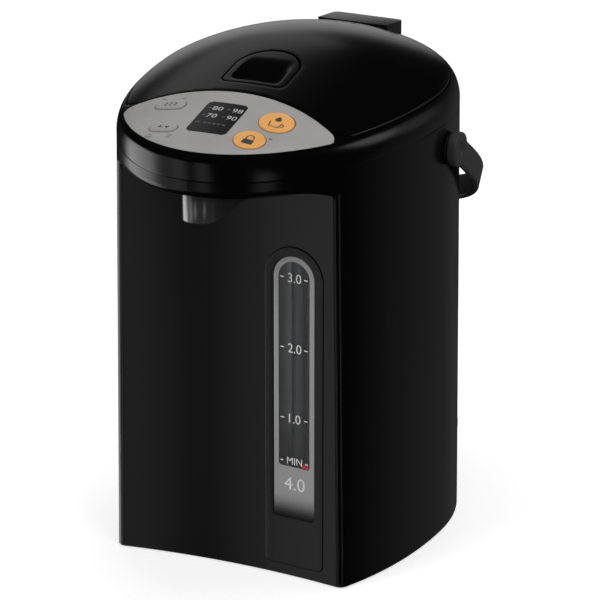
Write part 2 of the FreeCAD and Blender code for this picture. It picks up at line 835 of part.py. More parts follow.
def inlet_box(half_width, z0, z1, y0, y1):
    block = box(-half_width, half_width, y0, y1, z0, z1)
    block.Placement = inlet_frame()
    return block


def make_power_inlet():
    housing = inlet_box(inlet_half_width, inlet_bottom, inlet_top, -inlet_depth, inlet_proud)
    housing = housing.makeFillet(3.0, upright_edges(housing, lambda x, y: math.hypot(x, y) > 115))
    brow_bottom = inlet_top - inlet_brow_height
    brow = inlet_box(inlet_half_width - 3, brow_bottom, inlet_top, 0, inlet_proud + inlet_brow)
    housing = housing.fuse(brow)
    low, high = socket_middle - socket_height / 2, socket_middle + socket_height / 2
    socket = inlet_box(socket_half_width, low, high, inlet_proud - socket_depth, inlet_proud + 5)
    housing = housing.cut(socket)
    for side in (-1, 1):
        root = V(side * inlet_pin_spread, -inlet_depth + 1, socket_middle)
        pin = rod(inlet_pin_radius, root, Y_AXIS, 30)
        pin.Placement = inlet_frame().multiply(pin.Placement)
        housing = housing.cut(pin)
        housing = housing.cut(magnet_block(side))
    return housing.removeSplitter()


def magnet_block(side):
    middle = side * (socket_half_width + 1 + magnet_width / 2)
    block = box(middle - magnet_width / 2, middle + magnet_width / 2, inlet_proud - 6, inlet_proud,
                socket_middle - 6, socket_middle + 6)
    block.Placement = inlet_frame()
    return block


def make_inlet_pins():
    pins = []
    for side in (-1, 1):
        length = inlet_depth - 1 + inlet_proud - socket_depth + inlet_pin_length
        root = V(side * inlet_pin_spread, -inlet_depth + 1, socket_middle)
        pin = rod(inlet_pin_radius, root, Y_AXIS, length)
        pin.Placement = inlet_frame().multiply(pin.Placement)
        pins.append(pin)
    return Part.makeCompound(pins)


def make_hinge_bracket():
    inner = block_half_width - cheek_width - moving_gap
    seat = notch_floor
    foot = box(-inner, inner, block_front + 8.5, body_back, seam_height, seat)
    bracket = foot.common(lid_prism(lid_gap / 2 - running_gap, seam_height, crown_height))
    for side in (-1, 1):
        outer = side * inner
        x0, x1 = min(outer, outer - side * ear_width), max(outer, outer - side * ear_width)
        knuckle = rod(ear_radius, V(x0, hinge_y, hinge_z), X_AXIS, x1 - x0)
        profile = [
            V(x0, hinge_y - 1.5, hinge_z + ear_radius * 0.9),
            V(x0, hinge_y - 3.1, hinge_z - ear_radius * 0.75),
            V(x0, hinge_y - 11.2, seat - 0.5), V(x0, block_front + 8.5, seat - 0.5),
            V(x0, block_front + 8.5, hinge_z - 10), V(x0, hinge_y - 8, hinge_z - 1),
        ]
        web = Part.Face(Part.makePolygon(profile + profile[:1])).extrude(V(x1 - x0, 0, 0))
        bracket = bracket.fuse(knuckle).fuse(web)
    start = V(-2 * block_half_width, hinge_y, hinge_z)
    return bracket.cut(rod(hinge_pin_radius, start, X_AXIS, 4 * block_half_width)).removeSplitter()


def make_hinge_pin():
    half = block_half_width - 1.0
    return rod(hinge_pin_radius, V(-half, hinge_y, hinge_z), X_AXIS, 2 * half)


def make_hinge_block():
    profile = [
        V(-block_half_width, block_front, block_bottom - 12),
        V(-block_half_width, block_front, block_top_front),
        V(-block_half_width, block_back, block_top_back),
        V(-block_half_width, block_back, block_bottom - 12),
    ]
    block = Part.Face(Part.makePolygon(profile + profile[:1])).extrude(V(2 * block_half_width, 0, 0))
    block = block.makeFillet(5.0, upright_edges(block, lambda x, y: y > block_back - 1))
    # The front part rests on the lid, the back part overhangs the hinge
    over_lid = box(-60, 60, block_front - 1, hinge_y - 0.5, 0, crown_height + 20).common(dome(0, -seat_gap))
    block = block.cut(over_lid)
    block = block.cut(box(-60, 60, hinge_y - 0.6, block_back + 5, 0, block_bottom))
    inner = block_half_width - cheek_width
    ceiling = block_top_back - block_wall - 0.5
    hollow = box(-inner, inner, block_front + 12, block_back - block_wall, 0, ceiling)
    block = block.cut(hollow)
    start = V(-2 * block_half_width, hinge_y, hinge_z)
    bore = rod(hinge_pin_radius + running_gap, start, X_AXIS, 4 * block_half_width)
    return block.cut(bore).removeSplitter()


def lid_screw_places():
    return [(x, y) for x in (-70, 70) for y in (-62, 58)]


def make_lid_shell():
    outer = lid_prism(-lid_gap / 2, lid_skirt_bottom, crown_height + 20).common(dome(0, 0))
    inner = lid_prism(-lid_gap / 2 - lid_wall, lid_skirt_bottom - 1, crown_height + 20)
    shell = outer.cut(inner.common(dome(0, lid_wall)))
    for x, y in lid_screw_places():
        post = rod(post_radius, V(x, y, lid_skirt_bottom), Z_AXIS, 60).common(dome(0, 1.0))
        shell = shell.fuse(post).cut(rod(screw_radius, V(x, y, 0), Z_AXIS, lid_skirt_bottom + 8))
    # Lugs for the lever's pin, outside the lever's outline
    pivot = lever_pivot_z()
    lugs = box(-15.5, 15.5, lever_pivot_y - 3.5, lever_pivot_y + 3.5, pivot - 3.2, pivot + 4)
    shell = shell.fuse(lugs.common(dome(0, 0.5)))
    shell = shell.cut(lever_prism(0, seam_height, crown_height + 20))
    shell = shell.cut(rod(lever_pin_radius, V(-14, lever_pivot_y, pivot), X_AXIS, 28))
    # Steam holes
    for step in (-1.5, -0.5, 0.5, 1.5):
        shell = shell.cut(rod(vent_hole_radius, V(step * vent_pitch, vent_y, seam_height), Z_AXIS, 60))
    # Room for the hinge ears and the latch
    half = block_half_width - cheek_width
    shell = shell.cut(box(-half, half, block_front + 8, body_back, 0, crown_height))
    half = latch_half_width + moving_gap
    slot = box(-half, half, -lid_front - 5, -lid_front + lid_wall + 4, latch_bottom - moving_gap,
               latch_bottom + latch_height + moving_gap)
    return shell.cut(slot).removeSplitter()


def make_lid_base():
    plate = lid_prism(-lid_gap / 2 - lid_base_inset, lid_base_bottom, lid_skirt_bottom)
    boss = rod(flange_radius - 3, V(0, 0, lid_base_bottom - lid_boss_height), Z_AXIS, lid_boss_height + 0.5)
    plate = plate.fuse(boss)
    half = latch_half_width + 4
    rail_top = latch_bottom - moving_gap
    rail = box(-half, half, -latch_back - 25, -latch_back - 4, lid_skirt_bottom - 1, rail_top)
    plate = plate.fuse(rail)
    for x, y in lid_screw_places():
        plate = plate.cut(rod(screw_radius + 0.2, V(x, y, 0), Z_AXIS, 400))
    plate = plate.cut(rod(steam_bore, V(0, vent_y - 8, 0), Z_AXIS, 400))
    half = block_half_width - cheek_width + moving_gap
    return plate.cut(box(-half, half, block_front + 4, body_back, 0, 400)).removeSplitter()


def make_lid_screws():
    screws = []
    for x, y in lid_screw_places():
        head = rod(screw_head, V(x, y, lid_base_bottom - 1.8), Z_AXIS, 1.8)
        screws.append(head.fuse(rod(screw_radius, V(x, y, lid_base_bottom - 0.5), Z_AXIS, 12.0)))
    return Part.makeCompound(screws)


def make_inner_lid_plate():
    top = lid_base_bottom - lid_boss_height
    plate = rod(flange_radius - 12, V(0, 0, top - 1.2), Z_AXIS, 1.2)
    return plate.cut(rod(steam_bore, V(0, vent_y - 8, 0), Z_AXIS, 400))


def make_lid_gasket():
    top = lid_base_bottom - lid_boss_height
    bottom = collar_bottom + collar_thickness + flange_thickness + cover_gap
    return tube(flange_radius - 3, flange_radius - 11.5, V(0, 0, bottom), Z_AXIS, top - bottom)


def make_steam_duct():
    low = lid_skirt_bottom
    duct = tube(vent_radius, vent_radius - vent_wall, V(0, vent_y - 2, low), Z_AXIS, 60)
    return duct.common(dome(0, lid_wall + seat_gap))


def lever_pivot_z():
    return dome_height(0, lever_pivot_y) - lever_pivot_depth


def make_lid_lever():
    pivot = lever_pivot_z()
    low, high = seam_height, crown_height + 20
    outline = lever_prism(lever_gap, low, high)
    skin = outline.common(dome(0, 0)).cut(dome(0, lever_skin))
    body = lever_prism(3.0, low, high).common(dome(0, 1)).cut(dome(0, lever_body))
    body = body.common(box(-60, 60, -lever_front - 5, lever_pivot_y - 10, low, high))
    lever = skin.fuse(body)
    barrel = rod(2.5, V(-lever_half_width, lever_pivot_y, pivot), X_AXIS, 2 * lever_half_width)
    lever = lever.fuse(barrel.common(outline).common(dome(0, 0)))
    # The finger dish falls from the back of the lever to just behind its front rim
    dish_front, dish_back = -lever_front + dish_rim, lever_pivot_y - 12
    profile = [
        V(-60, dish_back, dome_height(0, dish_back)),
        V(-60, dish_front, dome_height(0, dish_front) - dish_depth),
        V(-60, dish_front, high), V(-60, dish_back, high),
    ]
    wedge = Part.Face(Part.makePolygon(profile + profile[:1])).extrude(V(120, 0, 0))
    lever = lever.cut(wedge.common(lever_prism(dish_rim, low, high)))
    # The front and the back are rounded about the pivot, so that the lever swings in its opening
    reach = math.hypot(lever_front - lever_gap + lever_pivot_y, dome_height(0, -lever_front) - pivot)
    swing = rod(reach, V(-60, lever_pivot_y, pivot), X_AXIS, 120)
    lever = lever.common(swing)
    # Its rim is undercut where it would sweep into the lid's skin beside the pivot
    around = dome(0, 0).common(box(-40, 40, lever_pivot_y - 25, 0, low, high))
    around = around.cut(lever_prism(lever_gap - 0.3, low, high))
    for turn in (9, 18, 27, 36):
        passed = around.copy()
        passed.rotate(V(0, lever_pivot_y, pivot), X_AXIS, turn)
        lever = lever.cut(passed)
    tail = box(-60, 60, lever_pivot_y, 0, low, high).cut(rod(2.4, V(-60, lever_pivot_y, pivot), X_AXIS, 120))
    lever = lever.cut(tail)
    bore = rod(lever_pin_radius + running_gap, V(-60, lever_pivot_y, pivot), X_AXIS, 120)
    return lever.cut(bore).removeSplitter()


def make_lever_pin():
    return rod(lever_pin_radius, V(-13.9, lever_pivot_y, lever_pivot_z()), X_AXIS, 27.8)


def make_lid_latch():
    front = -lid_front + lid_gap / 2 - 0.1
    top = latch_bottom + latch_height
    return box(-latch_half_width, latch_half_width, front, -latch_back - 2, latch_bottom, top)


def handle_point(share, offset):
    # A point of the bow in its own plane: X across the pot, Y out from the pivots.
    turn = share * math.pi / 2
    power = 2 / handle_roundness
    across = (handle_half_width + offset) * math.copysign(abs(math.cos(turn)) ** power, math.cos(turn))
    out = (handle_reach + offset) * abs(math.sin(turn)) ** power
    return V(across, out, -handle_strap / 2)


def stud_end():
    return handle_half_width + boss_proud - 2.0


def make_handle():
    shares = [0.0, 0.03, 0.1, 0.2, 0.32, 0.45, 0.6, 0.8, 1.0, 1.2, 1.4, 1.55, 1.68, 1.8, 1.9, 1.97, 2.0]
    outer, inner = Part.BSplineCurve(), Part.BSplineCurve()
    outer.interpolate([handle_point(s, 0) for s in shares])
    inner.interpolate([handle_point(s, -handle_thickness) for s in shares])
    start = Part.LineSegment(handle_point(0, -handle_thickness), handle_point(0, 0)).toShape()
    end = Part.LineSegment(handle_point(2, 0), handle_point(2, -handle_thickness)).toShape()
    bow = Part.Face(Part.Wire([start, outer.toShape(), end, inner.toShape()])).extrude(V(0, 0, handle_strap))
    boss_outer = handle_half_width + boss_proud
    for side in (-1, 1):
        disc = rod(boss_radius, V(side * boss_inner, 0, 0), V(side, 0, 0), boss_outer - boss_inner)
        bow = bow.fuse(disc)
    bore_end = stud_end() + cover_gap
    for side in (-1, 1):
        start = V(side * pivot_inner, 0, 0)
        bow = bow.cut(rod(pivot_radius + running_gap, start, V(side, 0, 0), bore_end - pivot_inner))
    bow.rotate(V(0, 0, 0), X_AXIS, -handle_droop)
    bow.translate(V(0, handle_y, handle_z))
    return bow.removeSplitter()


def make_handle_pivots():
    studs = []
    for side in (-1, 1):
        start = V(side * pivot_inner, handle_y, handle_z)
        stud = rod(pivot_radius, start, V(side, 0, 0), stud_end() - pivot_inner)
        flange = rod(pivot_radius + 2, start, V(side, 0, 0), 1.5)
        washer = rod(boss_radius - 1.0, V(side * (body_half_width + 0.35), handle_y, handle_z), V(side, 0, 0),
                     boss_inner - moving_gap - body_half_width - 0.35)
        studs.append(stud.fuse(flange).fuse(washer).removeSplitter())
    return Part.makeCompound(studs)


write("body_shell", make_body_shell())
write("base_plate", make_base_plate())
write("base_screws", make_base_screws())
write("foot_ring", make_foot_ring())
write("head_cover", make_head_cover())
write("control_fascia", make_control_fascia())
write("display_window", make_display_window())
write("control_board", make_control_board())
write("key_switches", make_key_switches())
for name, x, y, width, length in buttons:
    write(name, make_button(x, y, width, length))
gauge_cover, gauge_plate, gauge_window = make_gauge()
write("gauge_cover", gauge_cover)
write("gauge_plate", gauge_plate)
write("gauge_window", gauge_window)
write("gauge_tube", make_gauge_tube())
write("spout_shroud", make_spout_shroud())
write("spout_nozzle", make_spout_nozzle())
write("outlet_hose", make_outlet_hose())
write("riser_hose", make_riser_hose())
write("inner_tank", make_inner_tank())
write("tank_collar", make_tank_collar())
write("heat_shield", make_heat_shield())
write("heater_plate", make_heater())
write("temperature_sensor", make_sensor())
write("thermostat", make_thermostat())
write("pump_housing", make_pump_housing())
write("pump_motor", make_pump_motor())
write("pump_impeller", make_impeller())
write("inlet_hose", make_inlet_hose())
write("power_board", make_power_board())
write("power_inlet", make_power_inlet())
write("inlet_pins", make_inlet_pins())
write("inlet_magnets", Part.makeCompound([magnet_block(-1), magnet_block(1)]))
write("hinge_bracket", make_hinge_bracket())
write("hinge_pin", make_hinge_pin())
write("hinge_block", make_hinge_block())
write("lid_shell", make_lid_shell())
write("lid_base", make_lid_base())
write("lid_screws", make_lid_screws())
write("inner_lid_plate", make_inner_lid_plate())
write("lid_gasket", make_lid_gasket())
write("steam_duct", make_steam_duct())
write("lid_lever", make_lid_lever())
write("lever_pin", make_lever_pin())
write("lid_latch", make_lid_latch())
write("handle", make_handle())
write("handle_pivots", make_handle_pivots())
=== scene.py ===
"""Looks of the electric thermo pot: smooth numpy surfaces, finishes, studio and camera.

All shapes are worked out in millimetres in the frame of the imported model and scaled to
metres when a mesh is made. X points right seen from the front, -Y to the front, Z up.
"""
from __future__ import annotations

import logging
import math
from dataclasses import dataclass
from enum import Enum
from functools import cached_property
from typing import Any, Callable, Sequence

import bmesh
import bpy
import numpy as np
from mathutils import Matrix, Vector
from mathutils.geometry import delaunay_2d_cdt

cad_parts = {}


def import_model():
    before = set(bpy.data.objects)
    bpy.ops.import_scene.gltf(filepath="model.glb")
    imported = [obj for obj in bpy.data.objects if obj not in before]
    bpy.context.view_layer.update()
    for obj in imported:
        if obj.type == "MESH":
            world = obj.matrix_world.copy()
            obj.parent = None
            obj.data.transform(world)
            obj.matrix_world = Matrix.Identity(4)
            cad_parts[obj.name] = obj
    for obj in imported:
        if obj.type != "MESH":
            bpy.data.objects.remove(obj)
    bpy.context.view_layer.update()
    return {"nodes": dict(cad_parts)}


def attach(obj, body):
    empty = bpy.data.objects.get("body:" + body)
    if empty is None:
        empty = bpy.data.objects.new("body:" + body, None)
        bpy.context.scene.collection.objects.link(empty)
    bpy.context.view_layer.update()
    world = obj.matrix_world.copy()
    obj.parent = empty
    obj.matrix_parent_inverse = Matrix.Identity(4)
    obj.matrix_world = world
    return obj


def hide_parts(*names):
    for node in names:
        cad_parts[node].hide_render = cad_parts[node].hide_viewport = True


log = logging.getLogger("thermo_pot")
MM = 0.001
TURN = 2.0 * math.pi
TINY = 1e-6
MIRROR = np.array([-1, 1])
Array = np.ndarray
Pair = tuple[float, float]
Triple = tuple[float, float, float]


# Outlines in plan


def unit(vectors: Array) -> Array:
    """Return vectors scaled to a length of one."""
    return vectors / np.linalg.norm(vectors, axis=-1, keepdims=True)


def ring(count: int, start: float = 0.0) -> Array:
    """Return unit vectors evenly round a circle, the first at the angle start."""
    angle = np.linspace(0, TURN, count, endpoint=False) + start
    return np.stack([np.cos(angle), np.sin(angle)], -1)


def signed_area(loop: Array) -> float:
    """Return twice a loop's area, above zero where it runs anticlockwise."""
    x, y = loop[:, 0], loop[:, 1]
    return float(np.sum(x * np.roll(y, -1) - np.roll(x, -1) * y))


def left_normals(loop: Array) -> Array:
    """Return unit normals to the left of the travel direction, from central differences."""
    run = unit(np.roll(loop, -1, axis=0) - np.roll(loop, 1, axis=0))
    return np.stack([-run[:, 1], run[:, 0]], -1)


def eased(value: Array) -> Array:
    """Return 3 v^2 - 2 v^3 with v held between 0 and 1."""
    value = np.clip(value, 0, 1)
    return value * value * (3 - 2 * value)


def resample(loop: Array, count: int) -> Array:
    """Spread count points evenly by arc length along a closed loop.

    Args:
        loop: Points of the loop, without the first one repeated.
        count: Number of points wanted.

    Returns:
        An array of count points.
    """
    closed = np.vstack([loop, loop[:1]])
    steps = np.linalg.norm(np.diff(closed, axis=0), axis=1)
    run = np.concatenate([[0.0], np.cumsum(steps)])
    want = np.linspace(0.0, run[-1], count, endpoint=False)
    return np.stack([np.interp(want, run, closed[:, k]) for k in range(2)], -1)


def inside(points: Array, loop: Array) -> Array:
    """Say which points lie in a loop, by counting the edges that a ray to +X crosses.

    Args:
        points: Plan points.
        loop: Points of the closed loop.

    Returns:
        A truth value for each point.
    """
    x, y = points[:, :1], points[:, 1:2]
    ax, ay = loop[:, 0], loop[:, 1]
    bx, by = np.roll(ax, -1), np.roll(ay, -1)
    spans = (ay > y) != (by > y)
    cross = ax + (y - ay) * (bx - ax) / np.where(by == ay, 1e-12, by - ay)
    return (np.sum(spans & (x < cross), axis=1) % 2).astype(bool)


def between(points: Array, loops: Sequence[Array]) -> Array:
    """Say which points lie in the first loop and in none of the others."""
    holes = [inside(points, loop) for loop in loops[1:]]
    return inside(points, loops[0]) & ~np.any([np.zeros(len(points), bool), *holes], axis=0)


def clearance(points: Array, loop: Array) -> Array:
    """Return each point's distance to the nearest of a loop's points."""
    gaps = points[:, None, :] - loop[None, :, :]
    return np.sqrt((gaps ** 2).sum(-1)).min(axis=1)


def capsule(width: float, length: float, count: int = 72) -> Array:
    """Return a stadium, or a circle where both sizes are equal, about the origin.

    Args:
        width: Size along X.
        length: Size along Y.
        count: Number of points.

    Returns:
        The closed loop: a circle pulled apart along its longer direction.
    """
    radius = min(width, length) / 2
    round_part = radius * ring(count)
    reach = np.array([width / 2 - radius, length / 2 - radius])
    return round_part + np.sign(np.round(round_part, 9)) * reach


def rounded_box(width: float, length: float, corner: float, count: int = 96) -> Array:
    """Return a rectangle with quarter-circle corners about the origin."""
    turn = ring(count, TURN / count / 2)
    return corner * turn + np.sign(turn) * np.array([width / 2 - corner, length / 2 - corner])


def arched(half: float, foot: float, spring: float, rise: float, corner: float, steps: int,
           count: int) -> Array:
    """Return an outline with half an ellipse on top and a straight, round-cornered foot.

    Args:
        half: Half width, also of the ellipse.
        foot: Height of the straight foot.
        spring: Height at which the ellipse starts.
        rise: Half height of the ellipse.
        corner: Radius of the foot's corners.
        steps: Points along each corner before the outline is evened out.
        count: Number of points in the result.

    Returns:
        The closed loop, evenly spaced.
    """
    turn = np.linspace(0, math.pi, 90)
    top = np.stack([half * np.cos(turn), spring + rise * np.sin(turn)], -1)
    bend = np.linspace(0, math.pi / 2, steps)
    left = np.stack([
        corner - half - corner * np.cos(bend), foot + corner - corner * np.sin(bend)], -1)
    return resample(np.vstack([top, left, left[::-1] * MIRROR]), count)


@dataclass(frozen=True)
class Egg:
    """Outline of two half ellipses that meet at the widest line."""

    half_width: float
    front: float
    back: float

    def inset(self, depth: float) -> Egg:
        """Return the egg with every half axis shorter by depth."""
        return Egg(self.half_width - depth, self.front - depth, self.back - depth)

    def at(self, angle: Array) -> Array:
        """Return points (half width cos, front or back sin) for an array of angles."""
        depth = np.where(np.sin(angle) > 0, self.back, self.front)
        return np.stack([self.half_width * np.cos(angle), depth * np.sin(angle)], -1)

    def share(self, points: Array) -> Array:
        """Return 0 at the centre and 1 on the outline for plan points."""
        depth = np.where(points[..., 1] > 0, self.back, self.front)
        return np.hypot(points[..., 0] / self.half_width, points[..., 1] / depth)


@dataclass(frozen=True)
class ArcCut:
    """An egg cut by a circle, with its two sharp corners rounded.

    The part outside the circle is the lid's opening, the part inside it is the fascia.
    """

    egg: Egg
    centre_y: float
    radius: float
    keep_outside: bool
    corner: float
    egg_steps: int = 7200
    arc_steps: int = 400
    corner_steps: int = 60
    halvings: int = 40

    @property
    def sign(self) -> float:
        """Return 1 for the part outside the circle and -1 for the part inside."""
        return 1.0 if self.keep_outside else -1.0

    def around(self, turn: Array | float, radius: float) -> Array:
        """Return points at bearings from +Y about the circle's centre."""
        return np.stack([radius * np.sin(turn), self.centre_y + radius * np.cos(turn)], -1)

    def rounding(self, egg_points: Array) -> tuple[float, Array]:
        """Find the right-hand corner's rounding.

        Its centre is where the distance to the egg equals the corner radius while the
        distance to the circle does too, found by bisection along an arc.

        Args:
            egg_points: Dense points on the egg.

        Returns:
            The rounding's bearing from the circle's centre, and its own centre.
        """
        reach = self.radius + self.sign * self.corner
        low, high = 0.0, math.pi / 2
        for _ in range(self.halvings):
            middle = (low + high) / 2
            spot = self.around(middle, reach)[None]
            if self.egg.share(spot)[0] < 1 and clearance(spot, egg_points)[0] > self.corner:
                low = middle
            else:
                high = middle
        turn = (low + high) / 2
        return turn, self.around(turn, reach)

    def loop(self, count: int) -> Array:
        """Return the rounded outline: the circle's arc, a corner, the egg and a corner.

        Args:
            count: Number of points.

        Returns:
            The closed loop, anticlockwise and evenly spaced.
        """
        egg_points = self.egg.at(np.linspace(0, TURN, self.egg_steps, endpoint=False))
        turn, centre = self.rounding(egg_points)
        touch = egg_points[np.argmin(((egg_points - centre) ** 2).sum(-1))]
        arc = self.around(np.linspace(-turn, turn, self.arc_steps), self.radius)
        start = math.atan2(*(arc[-1] - centre)[::-1])
        end = math.atan2(*(touch - centre)[::-1])
        sweep = (end - start + math.pi) % TURN - math.pi
        bend = start + sweep * np.linspace(0, 1, self.corner_steps)[1:-1]
        right = centre + self.corner * np.stack([np.cos(bend), np.sin(bend)], -1)
        keep = egg_points[egg_points[:, 1] * self.sign > touch[1] * self.sign]
        keep = keep[np.argsort(-np.arctan2(keep[:, 0], keep[:, 1] * self.sign))]
        outline = np.vstack([arc, right, keep, right[::-1] * MIRROR])
        return resample(outline if signed_area(outline) > 0 else outline[::-1], count)


@dataclass(frozen=True)
class Dome:
    """Crown over the egg: the height lost grows with the share of the way to the rim.

    Each rounding holds its depth and its sharpness.
    """

    egg: Egg = Egg(109.0, 177.5, 119.5)
    crown: float = 352.0
    seam: float = 302.0
    nose_slope: float = 0.2113
    nose_blend: float = 5.0
    side_fall: float = 31.9
    back_fall: float = 29.7
    nose_round: Pair = (3.7, 70.0)
    side_round: Pair = (13.9, 17.0)
    back_round: Pair = (8.2, 20.0)
    shares: int = 6000
    levels: int = 1600
    halvings: int = 36

    @staticmethod
    def rounding(share: Array, depth: float, sharpness: float) -> Array:
        """Return depth (1 - sqrt(1 - share^sharpness)), which ends in an upright wall."""
        return depth * (1 - np.sqrt(np.maximum(0.0, 1 - share ** sharpness)))

    @cached_property
    def table(self) -> tuple[Array, Array, Array, Array]:
        """Return heights and the half width, front and back at each of them.

        Each fall is a smooth crown plus a rounding at the rim, and is turned round by
        interpolation to give the share of the full size at a height.

        Returns:
            The heights, the half widths, the fronts and the backs.
        """
        share = 1 - np.linspace(1, 0, self.shares) ** 3
        side = self.side_fall * share ** 2 + self.rounding(share, *self.side_round)
        back = self.back_fall * share ** 2 + self.rounding(share, *self.back_round)
        slope = np.hypot(self.nose_slope * self.egg.front * share, self.nose_blend)
        nose = slope - self.nose_blend + self.rounding(share, *self.nose_round)
        z = self.seam + (self.crown - self.seam) * (1 - np.linspace(1, 0, self.levels) ** 2)
        drop = self.crown - z
        sizes = (self.egg.half_width, self.egg.front, self.egg.back)
        falls = (side, nose, back)
        return z, *(size * np.interp(drop, fall, share) for size, fall in zip(sizes, falls))

    def level(self, height: Array, behind: Array) -> tuple[Array, Array]:
        """Return the half width and the depth of the egg at each height.

        Args:
            height: Heights in the crown.
            behind: Whether each point lies behind the widest line.

        Returns:
            The half widths and the depths, front or back.
        """
        z, width, front, rear = self.table
        depth = np.where(behind, np.interp(height, z, rear), np.interp(height, z, front))
        return np.maximum(np.interp(height, z, width), TINY), np.maximum(depth, TINY)

    def height(self, points: Array) -> Array:
        """Return the dome's height over plan points, by bisection on the level egg.

        A level's egg holds the point when (x / half width)^2 + (y / depth)^2 < 1.

        Args:
            points: Plan points.

        Returns:
            The heights.
        """
        x, y = points[..., 0], points[..., 1]
        low, high = np.full(x.shape, self.seam), np.full(x.shape, self.crown)
        for _ in range(self.halvings):
            middle = (low + high) / 2
            half, depth = self.level(middle, y > 0)
            out = (x / half) ** 2 + (y / depth) ** 2 > 1
            high, low = np.where(out, middle, high), np.where(out, low, middle)
        return (low + high) / 2

    def reach(self, angle: Array, height: Array) -> Array:
        """Return plan points on the dome in directions of the egg at given heights.

        Args:
            angle: The egg's angles.
            height: The heights, one for each angle.

        Returns:
            The plan points.
        """
        rim = self.egg.at(angle)
        half, depth = self.level(height, rim[..., 1] > 0)
        return rim / np.hypot(rim[..., 0] / half, rim[..., 1] / depth)[..., None]


@dataclass(frozen=True)
class Seam:
    """Line between lid and head cover: an egg cut by a circle round the nose."""

    egg: Egg
    inset: float = 6.5
    centre_y: float = -256.6
    radius: float = 165.0
    corner: float = 12.0
    gap: float = 0.8

    def side(self, way: int) -> ArcCut:
        """Return one edge of the gap along the line.

        Args:
            way: 1 for the inner edge, which is the lid's, and -1 for the outer edge.

        Returns:
            The edge's outline.
        """
        off = way * self.gap / 2
        return ArcCut(self.egg.inset(self.inset + off), self.centre_y, self.radius + off, True,
                      self.corner - off)


# Meshes


@dataclass
class Shape:
    """Vertices in millimetres with their faces, which can be added to each other."""

    points: Array
    faces: list[tuple[int, ...]]

    def __add__(self, other: Shape) -> Shape:
        """Return both shapes as one."""
        moved = [tuple(i + len(self.points) for i in face) for face in other.faces]
        return Shape(np.vstack([self.points, other.points]), self.faces + moved)

    def moved(self, matrix: Matrix) -> Shape:
        """Return the shape turned and moved by a matrix in millimetres."""
        turn = np.array(matrix)[:3]
        return Shape(self.points @ turn[:, :3].T + turn[:, 3], self.faces)

    def mapped(self, place: Callable[[Array], Array]) -> Shape:
        """Return the shape with its points sent through a function."""
        return Shape(place(self.points), self.faces)

    def mirrored(self) -> Shape:
        """Return the shape mirrored in X, with its faces turned the right way again."""
        return Shape(self.points * np.array([-1, 1, 1]), [face[::-1] for face in self.faces])

    def piece(self, name: str, body: str, finish: Finish | FadedPlate, slot: str,
              *nodes: str) -> None:
        """Make the mesh object, closed where points meet, and let it ride on a body.

        Args:
            name: Name of the piece.
            body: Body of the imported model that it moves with.
            finish: Its finish.
            slot: The record's material slot for it.
            nodes: CAD nodes that it stands for.
        """
        mesh = bpy.data.meshes.new(name)
        mesh.from_pydata((self.points * MM).tolist(), [], self.faces)
        shell = bmesh.new()
        shell.from_mesh(mesh)
        bmesh.ops.remove_doubles(shell, verts=shell.verts, dist=2e-6)
        bmesh.ops.dissolve_degenerate(shell, edges=shell.edges, dist=1e-7)
        shell.to_mesh(mesh)
        shell.free()
        ridden(mesh, body, finish, slot, *nodes)


def placed(name: str, data: bpy.types.ID) -> bpy.types.Object:
    """Make an object at the origin and link it to the scene.

    Args:
        name: Its name.
        data: Its mesh, lamp or camera.

    Returns:
        The object.
    """
    made = bpy.data.objects.new(name, data)
    bpy.context.scene.collection.objects.link(made)
    return made


def ridden(mesh: bpy.types.Mesh, body: str, finish: Finish | FadedPlate, slot: str,
           *nodes: str) -> None:
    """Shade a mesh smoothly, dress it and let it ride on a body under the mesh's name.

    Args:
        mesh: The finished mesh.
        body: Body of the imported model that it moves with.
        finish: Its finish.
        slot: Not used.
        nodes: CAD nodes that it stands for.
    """
    mesh.polygons.foreach_set("use_smooth", [True] * len(mesh.polygons))
    mesh.materials.clear()
    mesh.materials.append(finish.material())
    made = placed(mesh.name, mesh)
    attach(made, body)
    if nodes:
        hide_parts(*nodes)
    log.info("%s: %d faces on %s", mesh.name, len(mesh.polygons), body)


def read_back(mesh: bpy.types.Mesh) -> Shape:
    """Return a mesh's vertices and faces."""
    points = np.zeros(len(mesh.vertices) * 3)
    mesh.vertices.foreach_get("co", points)
    return Shape(points.reshape(-1, 3), [tuple(face.vertices) for face in mesh.polygons])


def joined(*shapes: Shape) -> Shape:
    """Return several shapes as one."""
    return sum(shapes[1:], shapes[0])


def grid(points: Array, close_columns: bool = False) -> Shape:
    """Turn a rows by columns array of points into quads.

    Args:
        points: Array of rows, columns and three coordinates.
        close_columns: Whether the last column joins the first.

    Returns:
        The shape. A face's corners are (r, c), (r, c+1), (r+1, c+1), (r+1, c).
    """
    rows, columns = points.shape[:2]
    index = np.arange(rows * columns).reshape(rows, columns)
    if close_columns:
        index = np.hstack([index, index[:, :1]])
    quads = np.stack([index[:-1, :-1], index[:-1, 1:], index[1:, 1:], index[1:, :-1]], -1)
    return Shape(points.reshape(-1, 3), [tuple(q) for q in quads.reshape(-1, 4).tolist()])


